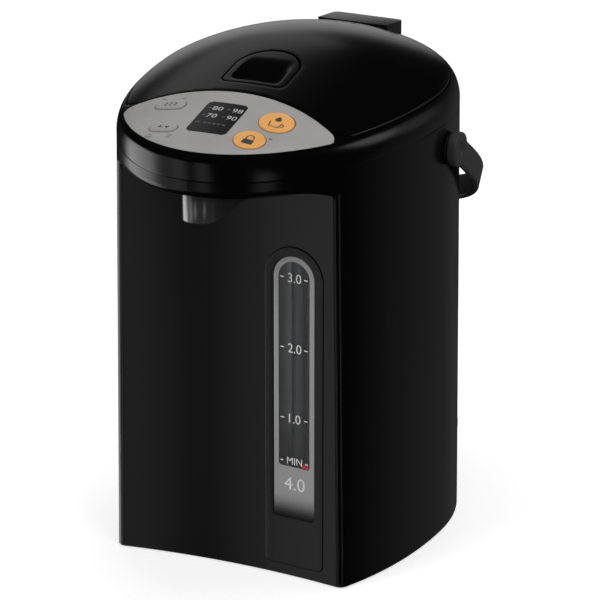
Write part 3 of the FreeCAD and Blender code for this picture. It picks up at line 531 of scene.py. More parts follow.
@dataclass(frozen=True)
class EdgeLoop:
    """One closed edge of a sheet: its loop, its rounding and how far its wall goes down."""

    loop: Array
    roll: float = 0.8
    depth: float = 3.0
    hole: bool = False
    flat_bottom: float | None = None
    rows: int = 6

    def strip(self, height: Callable[[Array], Array]) -> tuple[Shape, Array]:
        """Build the wall and the rolled edge of a sheet along the loop.

        The skin rolls over by a quarter circle, r - sqrt(r^2 - (r - d)^2) at the distance
        d from the edge, and then the wall goes straight down.

        Args:
            height: The sheet's height field.

        Returns:
            The strip, and the loop at which the flat part of the skin starts.
        """
        side = left_normals(self.loop) * (-1.0 if self.hole else 1.0)
        foot = self.height_of_foot(height)
        rows = [np.column_stack([self.loop, foot])]
        for angle in np.linspace(0, math.pi / 2, self.rows):
            spot = self.loop + side * self.roll * (1 - math.cos(angle))
            drop = self.roll * (1 - math.sin(angle))
            rows.append(np.column_stack([spot, height(spot) - drop]))
        made = grid(np.array(rows), close_columns=True)
        if self.hole:
            made.faces = [face[::-1] for face in made.faces]
        return made, rows[-1][:, :2]

    def height_of_foot(self, height: Callable[[Array], Array]) -> Array:
        """Say where the wall ends.

        Args:
            height: The sheet's height field.

        Returns:
            The height of the wall's foot for each point of the loop.
        """
        if self.flat_bottom is not None:
            return np.full(len(self.loop), self.flat_bottom)
        return height(self.loop) - self.roll - self.depth


@dataclass(frozen=True)
class Sheet:
    """A skin over a height field, triangulated between its edge loops."""

    height: Callable[[Array], Array]
    edges: Sequence[EdgeLoop]
    spacing: float = 3.0
    margin: float = 0.55

    def shape(self) -> Shape:
        """Return the skin: triangles in the middle and a rolled strip along each loop."""
        strips, loops = zip(*(edge.strip(self.height) for edge in self.edges))
        return joined(self.fill(loops), *strips)

    def lattice(self, loops: Sequence[Array]) -> Array:
        """Return a triangular lattice of points between the loops, clear of their edges.

        Args:
            loops: The outer loop and the holes.

        Returns:
            The plan points.
        """
        low, high = loops[0].min(0), loops[0].max(0)
        step = np.array([self.spacing, self.spacing * math.sqrt(0.75)])
        columns = np.arange(low[0], high[0] + step[0], step[0])
        lines = np.arange(low[1], high[1] + step[1], step[1])
        x, y = np.meshgrid(columns, lines)
        x = x + np.where(np.arange(len(lines)) % 2, step[0] / 2, 0)[:, None]
        dots = np.stack([x.ravel(), y.ravel()], -1)
        dots = dots[between(dots, loops)]
        for loop in loops:
            dots = dots[clearance(dots, loop) > self.spacing * self.margin]
        return dots

    def fill(self, loops: Sequence[Array]) -> Shape:
        """Triangulate between the loops, with a lattice of points in the middle.

        Args:
            loops: The outer loop and the holes.

        Returns:
            The skin, with its faces upwards.
        """
        edges: list[tuple[int, int]] = []
        for loop in loops:
            start, count = len(edges), len(loop)
            edges += [(start + i, start + (i + 1) % count) for i in range(count)]
        plan = np.vstack([*loops, self.lattice(loops)])
        made = delaunay_2d_cdt([Vector(p) for p in plan], edges, [], 0, 1e-7)
        points = np.array([tuple(v) for v in made[0]])
        faces = np.array([tuple(f) for f in made[2]])
        faces = faces[between(points[faces].mean(axis=1), loops)]
        a, b, c = (points[faces[:, k]] for k in range(3))
        up = (b[:, 0] - a[:, 0]) * (c[:, 1] - a[:, 1]) - (b[:, 1] - a[:, 1]) * (c[:, 0] - a[:, 0])
        faces[up < 0] = faces[up < 0][:, ::-1]
        skin = np.column_stack([points, self.height(points)])
        return Shape(skin, [tuple(f) for f in faces.tolist()])


@dataclass(frozen=True)
class Notch:
    """Box-shaped notch at the back of a skin, open upwards and backwards."""

    half: float
    front: float
    floor: float
    margin: float = 14.0

    def cut(self, shape: Shape) -> Shape:
        """Cut the notch out of a skin, along planes through its faces.

        Args:
            shape: The skin.

        Returns:
            The skin without the faces in the notch.
        """
        mesh = bpy.data.meshes.new("notched")
        mesh.from_pydata(shape.points.tolist(), [], shape.faces)
        shell = bmesh.new()
        shell.from_mesh(mesh)
        bmesh.ops.remove_doubles(shell, verts=shell.verts, dist=1e-3)
        sides = [((x, 0, 0), (1, 0, 0)) for x in (self.half, -self.half)]
        ends = [((0, self.front, 0), (0, 1, 0)), ((0, 0, self.floor), (0, 0, 1))]
        for place, normal in sides + ends:
            near = self.held(shell, self.margin, -math.inf)
            around = list({e for f in near for e in f.edges} | {v for f in near for v in f.verts})
            bmesh.ops.bisect_plane(
                shell, geom=around + near, plane_co=place, plane_no=normal, dist=1e-4)
        bmesh.ops.delete(shell, geom=self.held(shell, 0.0, self.floor), context="FACES")
        shell.to_mesh(mesh)
        shell.free()
        made = read_back(mesh)
        bpy.data.meshes.remove(mesh)
        return made

    def held(self, shell: bmesh.types.BMesh, margin: float,
             floor: float) -> list[bmesh.types.BMFace]:
        """Return the faces whose middle lies in the notch, widened by a margin.

        Args:
            shell: The skin being cut.
            margin: Distance added to the notch's sides and front.
            floor: Height over which faces count.

        Returns:
            The faces.
        """
        middles = [(face, face.calc_center_median()) for face in shell.faces]
        return [face for face, m in middles
                if abs(m.x) < self.half + margin and m.y > self.front - margin and m.z > floor]


def lathe(profile: Array, count: int = 64) -> Shape:
    """Spin a profile of (radius, height) about Z: x = r cos, y = r sin.

    Args:
        profile: Radii and heights.
        count: Steps round the circle.

    Returns:
        The closed surface.
    """
    points = np.zeros((len(profile), count, 3))
    points[..., :2] = profile[:, None, :1] * ring(count)[None]
    points[..., 2] = profile[:, 1:2]
    return grid(points, close_columns=True)


def ribbon(path: Array, width: float) -> Shape:
    """Lay a flat strip along a path, half a width to each side along the path's normal.

    Args:
        path: Points in the drawing plane.
        width: Width of the strip.

    Returns:
        The flat strip.
    """
    run = unit(np.gradient(path, axis=0))
    side = np.stack([-run[:, 1], run[:, 0]], -1) * width / 2
    rows = np.stack([path + side, path - side], 1)
    return grid(np.concatenate([rows, np.zeros((len(path), 2, 1))], -1)[::-1, ::-1].swapaxes(0, 1))


def dash(x: float, y: float, length: float, width: float) -> Shape:
    """Return a level dash with its middle at a point."""
    return ribbon(np.array([[x - length / 2, y], [x + length / 2, y]]), width)


def patch(loop: Array) -> Shape:
    """Fill a loop that its middle sees whole with a fan of triangles."""
    points = np.vstack([np.pad(loop, ((0, 0), (0, 1))), [[*loop.mean(0), 0.0]]])
    return Shape(points, [(i, (i + 1) % len(loop), len(loop)) for i in range(len(loop))])


def annulus(outer: Array, inner: Array) -> Shape:
    """Join two loops of the same length by quads, as a flat ring."""
    return grid(np.pad(np.stack([outer, inner]), ((0, 0), (0, 0), (0, 1))), close_columns=True)


def shifted(shape: Shape, x: float, y: float) -> Shape:
    """Return a flat shape moved in its plane."""
    return Shape(shape.points + np.array([x, y, 0.0]), shape.faces)


def facing_up(shape: Shape) -> Shape:
    """Return a flat shape with every face turned to the +Z side."""
    areas = [signed_area(shape.points[list(face)]) for face in shape.faces]
    return Shape(shape.points, [f if a > 0 else f[::-1] for f, a in zip(shape.faces, areas)])


def lettering(text: str, height: float, stretch: float = 1.0) -> Shape:
    """Return numbers or a plain word as a flat mesh with its middle at the origin.

    Args:
        text: What it says.
        height: Its height.
        stretch: Factor on its width.

    Returns:
        The flat shape.
    """
    curve = bpy.data.curves.new("lettering", "FONT")
    curve.body = text
    curve.resolution_u = 4
    holder = bpy.data.objects.new("lettering", curve)
    made = read_back(holder.to_mesh())
    holder.to_mesh_clear()
    bpy.data.objects.remove(holder)
    low, high = made.points.min(0), made.points.max(0)
    size = height / (high[1] - low[1])
    flat = (made.points - (low + high) / 2) * size * np.array([stretch, 1.0, 0.0])
    return Shape(flat, made.faces)


def softened(node: bpy.types.Object, name: str, body: str, finish: Finish, slot: str,
             width: float) -> None:
    """Replace a CAD node by a merged copy whose sharp edges are rounded by a bevel.

    Args:
        node: The node's object.
        name: Name of the new piece.
        body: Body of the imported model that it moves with.
        finish: Its finish.
        slot: The record's material slot for it.
        width: Width of the bevel.
    """
    flat_angle, sharp_angle, crease = 0.01, 0.6, math.radians(40)
    mesh = node.data.copy()
    mesh.name = name
    shell = bmesh.new()
    shell.from_mesh(mesh)
    bmesh.ops.remove_doubles(shell, verts=shell.verts, dist=1e-6)
    shared = [e for e in shell.edges if len(e.link_faces) == 2]
    flat = [e for e in shared if e.calc_face_angle(0.0) < flat_angle]
    bmesh.ops.dissolve_edges(shell, edges=flat, use_verts=True)
    shared = [e for e in shell.edges if len(e.link_faces) == 2]
    sharp = [e for e in shared if e.calc_face_angle(0.0) > sharp_angle]
    bmesh.ops.bevel(shell, geom=sharp, offset=width * MM, segments=3, profile=0.5,
                    affect="EDGES", clamp_overlap=True)
    shell.to_mesh(mesh)
    shell.free()
    ridden(mesh, body, finish, slot, node.name)
    mesh.set_sharp_from_angle(angle=crease)


# Finishes


@dataclass(frozen=True)
class Bench:
    """A node tree to which nodes are added and joined."""

    tree: bpy.types.NodeTree

    def feed(self, socket: bpy.types.NodeSocket, source: Any) -> None:
        """Join an output to an input, or set the input to a plain value.

        Args:
            socket: The input.
            source: An output or a value.
        """
        if isinstance(source, bpy.types.NodeSocket):
            self.tree.links.new(source, socket)
        else:
            socket.default_value = source

    def add(self, kind: str, sockets: dict[str | int, Any] | None = None,
            **settings: Any) -> bpy.types.Node:
        """Add a node, set its properties and fill its inputs.

        Args:
            kind: The node's type, without ShaderNode in front.
            sockets: Name or number of each input with its value or source.
            settings: Properties of the node.

        Returns:
            The node.
        """
        node = self.tree.nodes.new("ShaderNode" + kind)
        for name, value in settings.items():
            setattr(node, name, value)
        for name, source in (sockets or {}).items():
            self.feed(node.inputs[name], source)
        return node


def material_bench(name: str) -> tuple[bpy.types.Material, Bench]:
    """Make a material with nodes, and the bench for its tree."""
    made = bpy.data.materials.new(name)
    made.use_nodes = True
    return made, Bench(made.node_tree)


class Grain(Enum):
    """Kinds of fine surface structure, each a shader group of that name."""

    SKIN = "moulded skin"
    BRUSHED = "brushed lines"

    def bench(self, size: float, gloss: float, spread: float) -> Bench:
        """Make the group with its sockets, still without nodes between them.

        Args:
            size: Default scale of the noise.
            gloss: Default of the lowest roughness.
            spread: Default of the range of roughness.

        Returns:
            The bench for the group's tree.
        """
        tree = bpy.data.node_groups.new(self.value, "ShaderNodeTree")
        for label, value in {"Size": size, "Gloss": gloss, "Spread": spread}.items():
            socket = tree.interface.new_socket(label, in_out="INPUT", socket_type="NodeSocketFloat")
            socket.default_value = value
        for label in ("Height", "Roughness"):
            tree.interface.new_socket(label, in_out="OUTPUT", socket_type="NodeSocketFloat")
        for kind in ("NodeGroupInput", "NodeGroupOutput"):
            tree.nodes.new(kind)
        return Bench(tree)

    def build(self) -> None:
        """Build the group: it puts out a height and a roughness that change over the surface.

        A moulded skin's height is the fine noise of an orange peel, and coarse noise
        gives patches where handling has dulled the gloss. Brushed lines take both from
        one noise drawn out level.
        """
        brushed = self is Grain.BRUSHED
        bench = self.bench(2500.0, 0.25, 0.15) if brushed else self.bench(900.0, 0.2, 0.05)
        start = bench.tree.nodes["Group Input"].outputs
        end = bench.tree.nodes["Group Output"].inputs
        place = bench.add("TexCoord").outputs["Object"]
        if brushed:
            drawn = bench.add("Mapping", {"Scale": (0.02, 0.02, 1.0), "Vector": place})
            fine = coarse = bench.add("TexNoise", {
                "Detail": 2.0, "Vector": drawn.outputs["Vector"], "Scale": start["Size"]})
        else:
            fine = bench.add("TexNoise", {"Detail": 3.0, "Vector": place, "Scale": start["Size"]})
            coarse = bench.add("TexNoise", {"Detail": 4.0, "Vector": place, "Scale": 14.0})
        rough = bench.add("Math", {0: coarse.outputs["Fac"], 1: start["Spread"], 2: start["Gloss"]},
                          operation="MULTIPLY_ADD")
        bench.feed(end["Height"], fine.outputs["Fac"])
        bench.feed(end["Roughness"], rough.outputs[0])


@dataclass(frozen=True)
class Finish:
    """A finish: colour and gloss as plain values, fine structure from a shared group."""

    name: str
    color: Triple
    roughness: float = 0.3
    spread: float = 0.05
    metallic: float = 0.0
    specular: float = 0.5
    grain: Grain = Grain.SKIN
    grain_size: float = 900.0
    bump: float = 0.05
    bump_depth: float = 0.00002
    transmission: float = 0.0
    mottle: float = 0.06
    mottle_scale: float = 35.0
    mottle_stops: Pair = (0.3, 0.7)

    def material(self) -> bpy.types.Material:
        """Return the material, made on first use.

        Returns:
            A material whose colour varies by the mottle and whose gloss varies by the grain.
        """
        known = bpy.data.materials.get(self.name)
        if known:
            return known
        made, bench = material_bench(self.name)
        group = bench.add("Group", {
            "Size": self.grain_size, "Gloss": self.roughness - self.spread / 2,
            "Spread": self.spread,
        }, node_tree=bpy.data.node_groups[self.grain.value])
        bump = bench.add("Bump", {
            "Strength": self.bump, "Distance": self.bump_depth, "Height": group.outputs["Height"]})
        place = bench.add("TexCoord").outputs["Object"]
        cloud = bench.add("TexNoise", {"Scale": self.mottle_scale, "Vector": place})
        ramp = bench.add("ValToRGB", {"Fac": cloud.outputs["Fac"]})
        for stop, position, way in zip(ramp.color_ramp.elements, self.mottle_stops, (-1, 1)):
            stop.position = position
            stop.color = (*(min(1.0, c * (1 + way * self.mottle)) for c in self.color), 1)
        shader = made.node_tree.nodes["Principled BSDF"]
        for label, source in {
            "Base Color": ramp.outputs["Color"], "Metallic": self.metallic,
            "Roughness": group.outputs["Roughness"], "Specular IOR Level": self.specular,
            "Transmission Weight": self.transmission, "Normal": bump.outputs["Normal"],
        }.items():
            bench.feed(shader.inputs[label], source)
        return made


@dataclass(frozen=True)
class FadedPlate:
    """Silver plate whose foot fades to black between two heights in metres."""

    name: str = "silver plate fading to black"
    bright: float = 0.38
    dark: float = 0.0015
    fade_low: float = 0.046
    fade_high: float = 0.064
    speckle: float = 0.07
    grain_size: float = 3000.0
    gloss: Pair = (0.3, 0.4)
    metallic: float = 0.15

    def material(self) -> bpy.types.Material:
        """Return the material.

        Returns:
            A material mixed from bright to dark by a smooth step in height.
        """
        made, bench = material_bench(self.name)
        place = bench.add("TexCoord").outputs["Object"]
        split = bench.add("SeparateXYZ", {0: place})
        fade = bench.add("MapRange", {
            "From Min": self.fade_low, "From Max": self.fade_high, "Value": split.outputs["Z"],
        }, interpolation_type="SMOOTHSTEP")
        grain = bench.add("TexNoise", {"Scale": self.grain_size, "Vector": place}).outputs["Fac"]
        speck = bench.add("MapRange", {
            "To Min": self.bright * (1 - self.speckle), "To Max": self.bright * (1 + self.speckle),
            "Value": grain})
        tone = bench.add("Mix", {
            "A": self.dark, "B": speck.outputs["Result"], "Factor": fade.outputs["Result"]})
        low, high = self.gloss
        gloss = bench.add("MapRange", {"To Min": low, "To Max": high, "Value": grain})
        shader = made.node_tree.nodes["Principled BSDF"]
        bench.feed(shader.inputs["Base Color"], tone.outputs["Result"])
        bench.feed(shader.inputs["Metallic"], self.metallic)
        bench.feed(shader.inputs["Roughness"], gloss.outputs["Result"])
        return made


def printed(name: str, color: Triple) -> Finish:
    """Return the finish of a matt print."""
    return Finish(name, color, 0.6, 0.05, specular=0.2)


@dataclass(frozen=True)
class Finishes:
    """Every finish of the pot."""

    body: Finish = Finish("satin black body", (0.0014, 0.0014, 0.0015), 0.23, 0.04)
    cover: Finish = Finish("gloss black cover", (0.0012, 0.0012, 0.0013), 0.20, 0.04)
    handle: Finish = Finish("satin black handle", (0.038, 0.038, 0.0385), 0.38, 0.06)
    block: Finish = Finish("black hinge block", (0.006, 0.006, 0.0063), 0.3, 0.05)
    spout: Finish = Finish("dark spout", (0.20, 0.20, 0.20), 0.2, 0.04, metallic=0.85)
    inner: Finish = Finish("plain black moulding", (0.014, 0.014, 0.015), 0.5, 0.1, bump=0.2)
    fascia: Finish = Finish("silver grey lacquer", (0.36, 0.355, 0.35), 0.38, 0.04,
                            metallic=0.2, grain_size=2600.0, bump=0.15)
    display: Finish = Finish("smoked display", (0.011, 0.011, 0.012), 0.14, 0.03)
    orange: Finish = Finish("orange button", (0.70, 0.345, 0.108), 0.35, 0.05)
    # The two button rims are painted shade: darkened copies of the button colours, laid flat where
    # the gap around each button lies in shadow.
    orange_rim: Finish = Finish("orange button rim", (0.20, 0.085, 0.03), 0.5, 0.05)
    silver: Finish = Finish("silver button", (0.50, 0.49, 0.485), 0.3, 0.05, metallic=0.5)
    silver_rim: Finish = Finish("grey button rim", (0.10, 0.10, 0.10), 0.5, 0.05)
    print_white: Finish = printed("white print", (0.82, 0.82, 0.82))
    print_grey: Finish = printed("grey print", (0.40, 0.40, 0.41))
    print_mid: Finish = printed("mid grey print", (0.10, 0.10, 0.10))
    print_faint: Finish = printed("faint print", (0.085, 0.085, 0.088))
    print_dark: Finish = printed("dark print", (0.05, 0.05, 0.052))
    print_red: Finish = printed("red print", (0.55, 0.05, 0.06))
    steel: Finish = Finish("brushed steel", (0.58, 0.575, 0.57), 0.26, 0.16, metallic=1.0,
                           grain=Grain.BRUSHED)
    aluminium: Finish = Finish("plain aluminium", (0.65, 0.655, 0.66), 0.36, 0.1, metallic=1.0)
    brass: Finish = Finish("plain brass", (0.62, 0.45, 0.2), 0.3, 0.1, metallic=1.0)
    magnet: Finish = Finish("dark magnet", (0.12, 0.12, 0.125), 0.35, 0.1, metallic=0.8)
    white_plastic: Finish = Finish("white moulding", (0.66, 0.66, 0.63), 0.45, 0.1, bump=0.2)
    board: Finish = Finish("circuit board", (0.02, 0.12, 0.05), 0.35, 0.1, mottle=0.3)
    rubber: Finish = Finish("black rubber", (0.018, 0.018, 0.018), 0.75, 0.1, bump=0.4)
    gasket: Finish = Finish("grey silicone", (0.45, 0.45, 0.44), 0.6, 0.1, bump=0.3)
    silicone: Finish = Finish("milky silicone", (0.60, 0.60, 0.58), 0.5, 0.1)
    glass: Finish = Finish("smoked window", (0.42, 0.43, 0.44), 0.08, 0.02,
                           transmission=1.0, mottle=0.03)
    tube: Finish = Finish("clear tube", (0.85, 0.87, 0.88), 0.08, 0.02,
                          transmission=1.0, mottle=0.03)

    def dress(self, nodes: dict[str, bpy.types.Object]) -> None:
        """Give every CAD node that shows as it is its finish.

        Args:
            nodes: The frame's objects by their node's name.
        """
        groups = (
            (self.body, "body_shell"), (self.fascia, "control_fascia"),
            (self.display, "display_window"), (self.glass, "gauge_window"),
            (self.tube, "gauge_tube"), (self.aluminium, "heat_shield heater_plate"),
            (self.steel, "inner_tank inner_lid_plate pump_motor inlet_pins"),
            (self.steel, "hinge_pin lever_pin base_screws lid_screws"),
            (self.brass, "temperature_sensor"), (self.magnet, "inlet_magnets"),
            (self.white_plastic, "pump_housing pump_impeller"),
            (self.board, "control_board power_board"), (self.rubber, "foot_ring"),
            (self.gasket, "lid_gasket"), (self.silicone, "outlet_hose riser_hose inlet_hose"),
        )
        choice = {name: finish for finish, names in groups for name in names.split()}
        for name, node in nodes.items():
            node.data.materials.clear()
            node.data.materials.append(choice.get(name, self.inner).material())


# Symbols


def pouring() -> Shape:
    """Draw a cup with an ear under a drop.

    The drop is x = a cos (1 - k sin), y = b sin, drawn in above by 1 - m sin^2.

    Returns:
        The flat shape.
    """
    rim, foot, top, bottom, line = 4.2, 3.2, 2.4, -3.2, 0.9
    cup = ribbon(np.array([[-rim, top], [-foot, bottom], [foot, bottom], [rim, top]]), line)
    bend = np.linspace(-1.2, 1.2, 12)
    ear = ribbon(np.stack([4.0 + 1.9 * np.cos(bend), -0.2 + 1.9 * np.sin(bend)], -1), 0.8)
    across, along = ring(40).T
    half_width, half_height, swell, point = 1.995, 2.945, 0.42, 0.75
    taper = np.where(along > 0, 1 - along ** 2 * point, 1.0)
    drop = np.stack([half_width * across * (1 - swell * along) * taper, half_height * along], -1)
    return shifted(cup + ear, 0.0, -3.0) + shifted(patch(drop), 0.0, 3.6)


def padlock() -> Shape:
    """Draw a padlock: half a circle with straight ends over a rounded box.

    Returns:
        The flat shape.
    """
    arch = np.linspace(0, math.pi, 16)
    bow = np.stack([-2.4 * np.cos(arch), 2.0 + 2.4 * np.sin(arch)], -1)
    shackle = np.vstack([[[-2.4, -0.6]], bow, [[2.4, 0.6]]])
    return ribbon(shackle, 0.9) + shifted(patch(rounded_box(7.6, 5.6, 0.8, 32)), 0.0, -3.2)


def steam() -> Shape:
    """Draw three waves, x = 0.8 sin(1.9 y), side by side."""
    rise = np.linspace(-2.6, 2.6, 24)
    return joined(*(ribbon(np.stack([x + 0.8 * np.sin(rise * 1.9), rise], -1), 0.7)
                    for x in (-3.4, 0.0, 3.4)))


def arrow(scale: float = 1.0) -> Shape:
    """Draw an arrow head that points up, or down where the scale is below zero."""
    return patch(np.array([[-1.8, -1.0], [1.8, -1.0], [0.0, 1.6]]) * scale)


# Sub-assemblies


@dataclass(frozen=True)
class Key:
    """One button of the panel: its body and node, its middle, its size and its slot."""

    name: str
    centre: Pair
    size: Pair
    slot: str


@dataclass
class Head:
    """Head cover, buttons, symbols and display figures over the nose."""

    dome: Dome
    seam: Seam
    looks: Finishes
    dispense: Key = Key("dispense_button", (37.5, -119.5), (24.0, 24.0), "button_orange")
    unlock: Key = Key("unlock_button", (30.0, -146.0), (21.5, 21.5), "button_orange")
    reboil: Key = Key("reboil_button", (-42.0, -115.0), (22.0, 12.0), "button_silver")
    select: Key = Key("select_button", (-32.5, -145.5), (20.0, 11.0), "button_silver")
    proud: float = 0.9
    key_gap: float = 0.9
    slope: float = 0.9784
    fascia_inset: float = 4.65
    fascia_gap: float = 0.45
    fascia_corner: float = 7.0
    band_start: float = 0.965
    band_rows: int = 30
    band_power: float = 0.8
    foot_gap: float = 0.35
    opening_floor: float = 302.6
    notch: Notch = Notch(27.3, 97.0, 309.5)
    seat_run: Pair = (106.0, 119.0)
    cheek_run: Pair = (108.0, 115.6)
    symbol_lift: float = 0.05
    rim_lift: float = 0.04
    mark_lift: float = 0.08
    figure_lift: float = 0.25
    display: Pair = (-2.0, -127.3)

    def cover(self) -> None:
        """Build the ring and nose: a skin over the dome and a band down to the seam.

        The band's points lie on the level egg at heights between the skin's edge and the
        seam, so it follows the rounding at the rim exactly.
        """
        seam, egg = self.seam, self.dome.egg
        fascia = ArcCut(egg.inset(self.fascia_inset), seam.centre_y,
                        seam.radius - self.fascia_gap, False, self.fascia_corner)
        angle = np.linspace(0, TURN, 360, endpoint=False)
        rim = egg.at(angle) * self.band_start
        skin = Sheet(self.dome.height, [
            EdgeLoop(rim, 0.0, 0.0, rows=1),
            EdgeLoop(seam.side(-1).loop(420), 0.7, hole=True, flat_bottom=self.opening_floor),
            EdgeLoop(fascia.loop(320), 0.3, 1.4, hole=True),
        ]).shape()
        top = self.dome.height(rim)
        fall = (1 - np.cos(np.linspace(0, math.pi / 2, self.band_rows))) ** self.band_power
        z = top[None, :] + (self.dome.seam + self.foot_gap - top[None, :]) * fall[:, None]
        plan = self.dome.reach(np.broadcast_to(angle, z.shape), z)
        plan[0] = rim
        foot = egg.inset(self.foot_gap).at(angle)
        tuck = np.column_stack([foot, np.full(len(angle), self.dome.seam)])
        band = np.concatenate([np.concatenate([plan, z[..., None]], -1), tuck[None]])
        whole = self.notch.cut(skin + grid(band[::-1], close_columns=True)) + self.hinge_seat()
        whole.piece("head_cover_skin", "pot", self.looks.cover, "cover_black", "head_cover")

    def hinge_seat(self) -> Shape:
        """Return the hinge notch's floor and cheeks behind the lid's opening.

        Returns:
            A level strip and two upright strips that end just under the dome.
        """
        half, level, rows = self.notch.half, self.notch.floor, 8
        floor = grid(np.array([[[x, y, level] for x in (-half, half)]
                               for y in np.linspace(*self.seat_run, rows)]))
        plan = np.column_stack([np.full(rows, half), np.linspace(*self.cheek_run, rows)])
        top = self.dome.height(plan) - 0.1
        cheek = grid(np.stack([np.column_stack([plan, z]) for z in (np.full(rows, level), top)]))
        return joined(floor, cheek, cheek.mirrored())

    def on_panel(self, shape: Shape, centre: Pair, lift: float, turn: float = 0.0) -> Shape:
        """Lay a flat drawing on the sloping panel: y is shortened by the slope's cosine.

        Args:
            shape: The flat drawing.
            centre: Plan place of its middle.
            lift: Height over the dome.
            turn: Angle in degrees by which it is turned.

        Returns:
            The drawing, with its faces upwards.
        """
        flat = facing_up(shape)
        drawn = flat.moved(Matrix.Rotation(math.radians(turn), 4, "Z")).points
        plan = np.column_stack([drawn[:, 0] + centre[0], drawn[:, 1] * self.slope + centre[1]])
        return Shape(np.column_stack([plan, self.dome.height(plan) + lift]), flat.faces)

    def button(self, key: Key, cap: Finish, rim: Finish) -> None:
        """Build one raised button with a rolled edge, and a flat dark ring around it that is
        painted shade standing in for the gap.

        Args:
            key: The button.
            cap: Finish of its cap.
            rim: Finish of the ring of painted gap shade.
        """
        loop = capsule(*key.size) * np.array([1.0, self.slope]) + np.array(key.centre)
        raised = Sheet(lambda p: self.dome.height(p) + self.proud, [EdgeLoop(loop, 0.8, 2.4)], 1.3)
        raised.shape().piece(key.name + "_cap", key.name, cap, key.slot, key.name)
        # A flat dark ring on the panel: painted shade where the gap around the button falls in
        # shadow.
        wide = capsule(*(size + self.key_gap for size in key.size))
        gap = self.on_panel(annulus(wide, capsule(*key.size)), key.centre, self.rim_lift)
        gap.piece(key.name + "_rim", "pot", rim, "fascia_grey")

    def symbols(self) -> None:
        """Print a plain symbol on each button, and small marks beside them."""
        selecting = shifted(arrow(), -2.6, 0.2) + shifted(arrow(-1.0), 2.6, -0.2)
        for key, drawing in ((self.dispense, pouring()), (self.unlock, padlock()),
                             (self.reboil, steam()), (self.select, selecting)):
            laid = self.on_panel(drawing, key.centre, self.proud + self.symbol_lift)
            name = key.name.replace("button", "symbol")
            laid.piece(name, key.name, self.looks.print_dark, key.slot)
        line = dash(0.0, 0.0, 17.0, 0.9)
        lines = [self.on_panel(line, place, self.mark_lift, 2.0)
                 for place in ((-44.0, -105.6), (-30.5, -154.6), (-31.5, -157.2))]
        pointer = Shape(arrow(0.8).points * np.array([1, -1, 1]), arrow().faces)
        marks = joined(*lines, self.on_panel(pointer, (41.7, -138.6), self.mark_lift))
        marks.piece("panel_marks", "pot", self.looks.print_mid, "fascia_grey")

    def figures(self) -> None:
        """Print the display's temperatures with a dash before each and a faint low row."""
        columns, rows, low = (-4.8, 9.6), (11.6, 1.8), -8.2
        places = [(x, y) for y in rows for x in columns]
        bright = [shifted(lettering(text, 4.9, 1.12), *place)
                  for text, place in zip(("80", "98", "70", "90"), places)]
        faint = [dash(x, y, 2.8, 1.0) for y in rows for x in (-10.9, 3.4)]
        faint += [dash(start + 1.15, low, 2.3, 1.5) for start in np.arange(-6.5, 10.5, 3.4)]
        faint.append(shifted(patch(capsule(2.4, 2.4, 24)), -10.6, low))
        for name, drawing, finish in (("display_figures", bright, self.looks.print_grey),
                                      ("display_marks", faint, self.looks.print_faint)):
            laid = self.on_panel(joined(*drawing), self.display, self.figure_lift)
            laid.piece(name, "pot", finish, "display_smoke")

    def build(self) -> None:
        """Build every visible piece of the head."""
        self.cover()
        for key in (self.dispense, self.unlock):
            self.button(key, self.looks.orange, self.looks.orange_rim)
        for key in (self.reboil, self.select):
            self.button(key, self.looks.silver, self.looks.silver_rim)
        self.symbols()
        self.figures()


@dataclass
class Lid:
    """Lid skin with its steam holes and its lever."""

    dome: Dome
    seam: Seam
    looks: Finishes
    floor: float = 310.2
    notch: Notch = Notch(21.0, 99.0, 300.0)
    vent_size: float = 3.5
    vent_y: float = 68.0
    vent_pitch: float = 7.4
    lever_front: float = 79.5
    lever_back: float = 31.0
    lever_half: float = 23.5
    lever_corner: float = 6.0
    lever_gap: float = 0.5
    lever_tuck: float = 1.2
    lever_rim: float = 7.0
    dish_depth: float = 4.6
    dish_back: float = -41.0
    dish_run: float = 31.0
    dish_half: float = 18.5
    dish_front: float = -76.0
    dish_edge: float = 7.0

    def lever_outline(self, shrink: float, tuck: float = 0.0) -> Array:
        """Return the lever's D: a straight front and half an ellipse at the back.

        Args:
            shrink: Distance by which the whole outline is smaller.
            tuck: Distance by which its back is drawn in further, so that it turns freely.

        Returns:
            The closed loop.
        """
        front, back = -self.lever_front + shrink, -self.lever_back - shrink - tuck
        middle = (front + back) / 2
        return arched(self.lever_half - shrink, front, middle, back - middle,
                      self.lever_corner - shrink / 2, 24, 220)

    def lever_face(self, points: Array) -> Array:
        """Return the height of the lever's face, which is the dome less a finger dish.

        The dish grows evenly from the back to the front lip, and fades out smoothly
        towards each side: depth = ramp(y) * edge(x) * edge(front).

        Args:
            points: Plan points.

        Returns:
            The heights.
        """
        x, y = points[..., 0], points[..., 1]
        ramp = eased((self.dish_back - y) / self.dish_run) * self.dish_depth
        side = eased((self.dish_half - np.abs(x)) / self.dish_edge)
        front = eased((y - self.dish_front) / self.dish_edge)
        return self.dome.height(points) - ramp * side * front

    def build(self) -> None:
        """Build the lid's skin and the lever."""
        edges = [
            EdgeLoop(self.seam.side(1).loop(420), flat_bottom=self.floor),
            EdgeLoop(self.lever_outline(0.0), 0.5, 2.4, hole=True),
        ]
        for step in (-1.5, -0.5, 0.5, 1.5):
            vent = capsule(self.vent_size, self.vent_size, 28)
            vent = vent + np.array([step * self.vent_pitch, self.vent_y])
            edges.append(EdgeLoop(vent, 0.3, 2.2, hole=True, rows=4))
        skin = self.notch.cut(Sheet(self.dome.height, edges).shape())
        skin.piece("lid_skin", "lid", self.looks.cover, "cover_black", "lid_shell")
        edge = EdgeLoop(self.lever_outline(self.lever_gap, self.lever_tuck), 0.5, self.lever_rim)
        lever = Sheet(self.lever_face, [edge], 1.1).shape()
        lever.piece("lever_skin", "lever", self.looks.cover, "cover_black", "lid_lever")


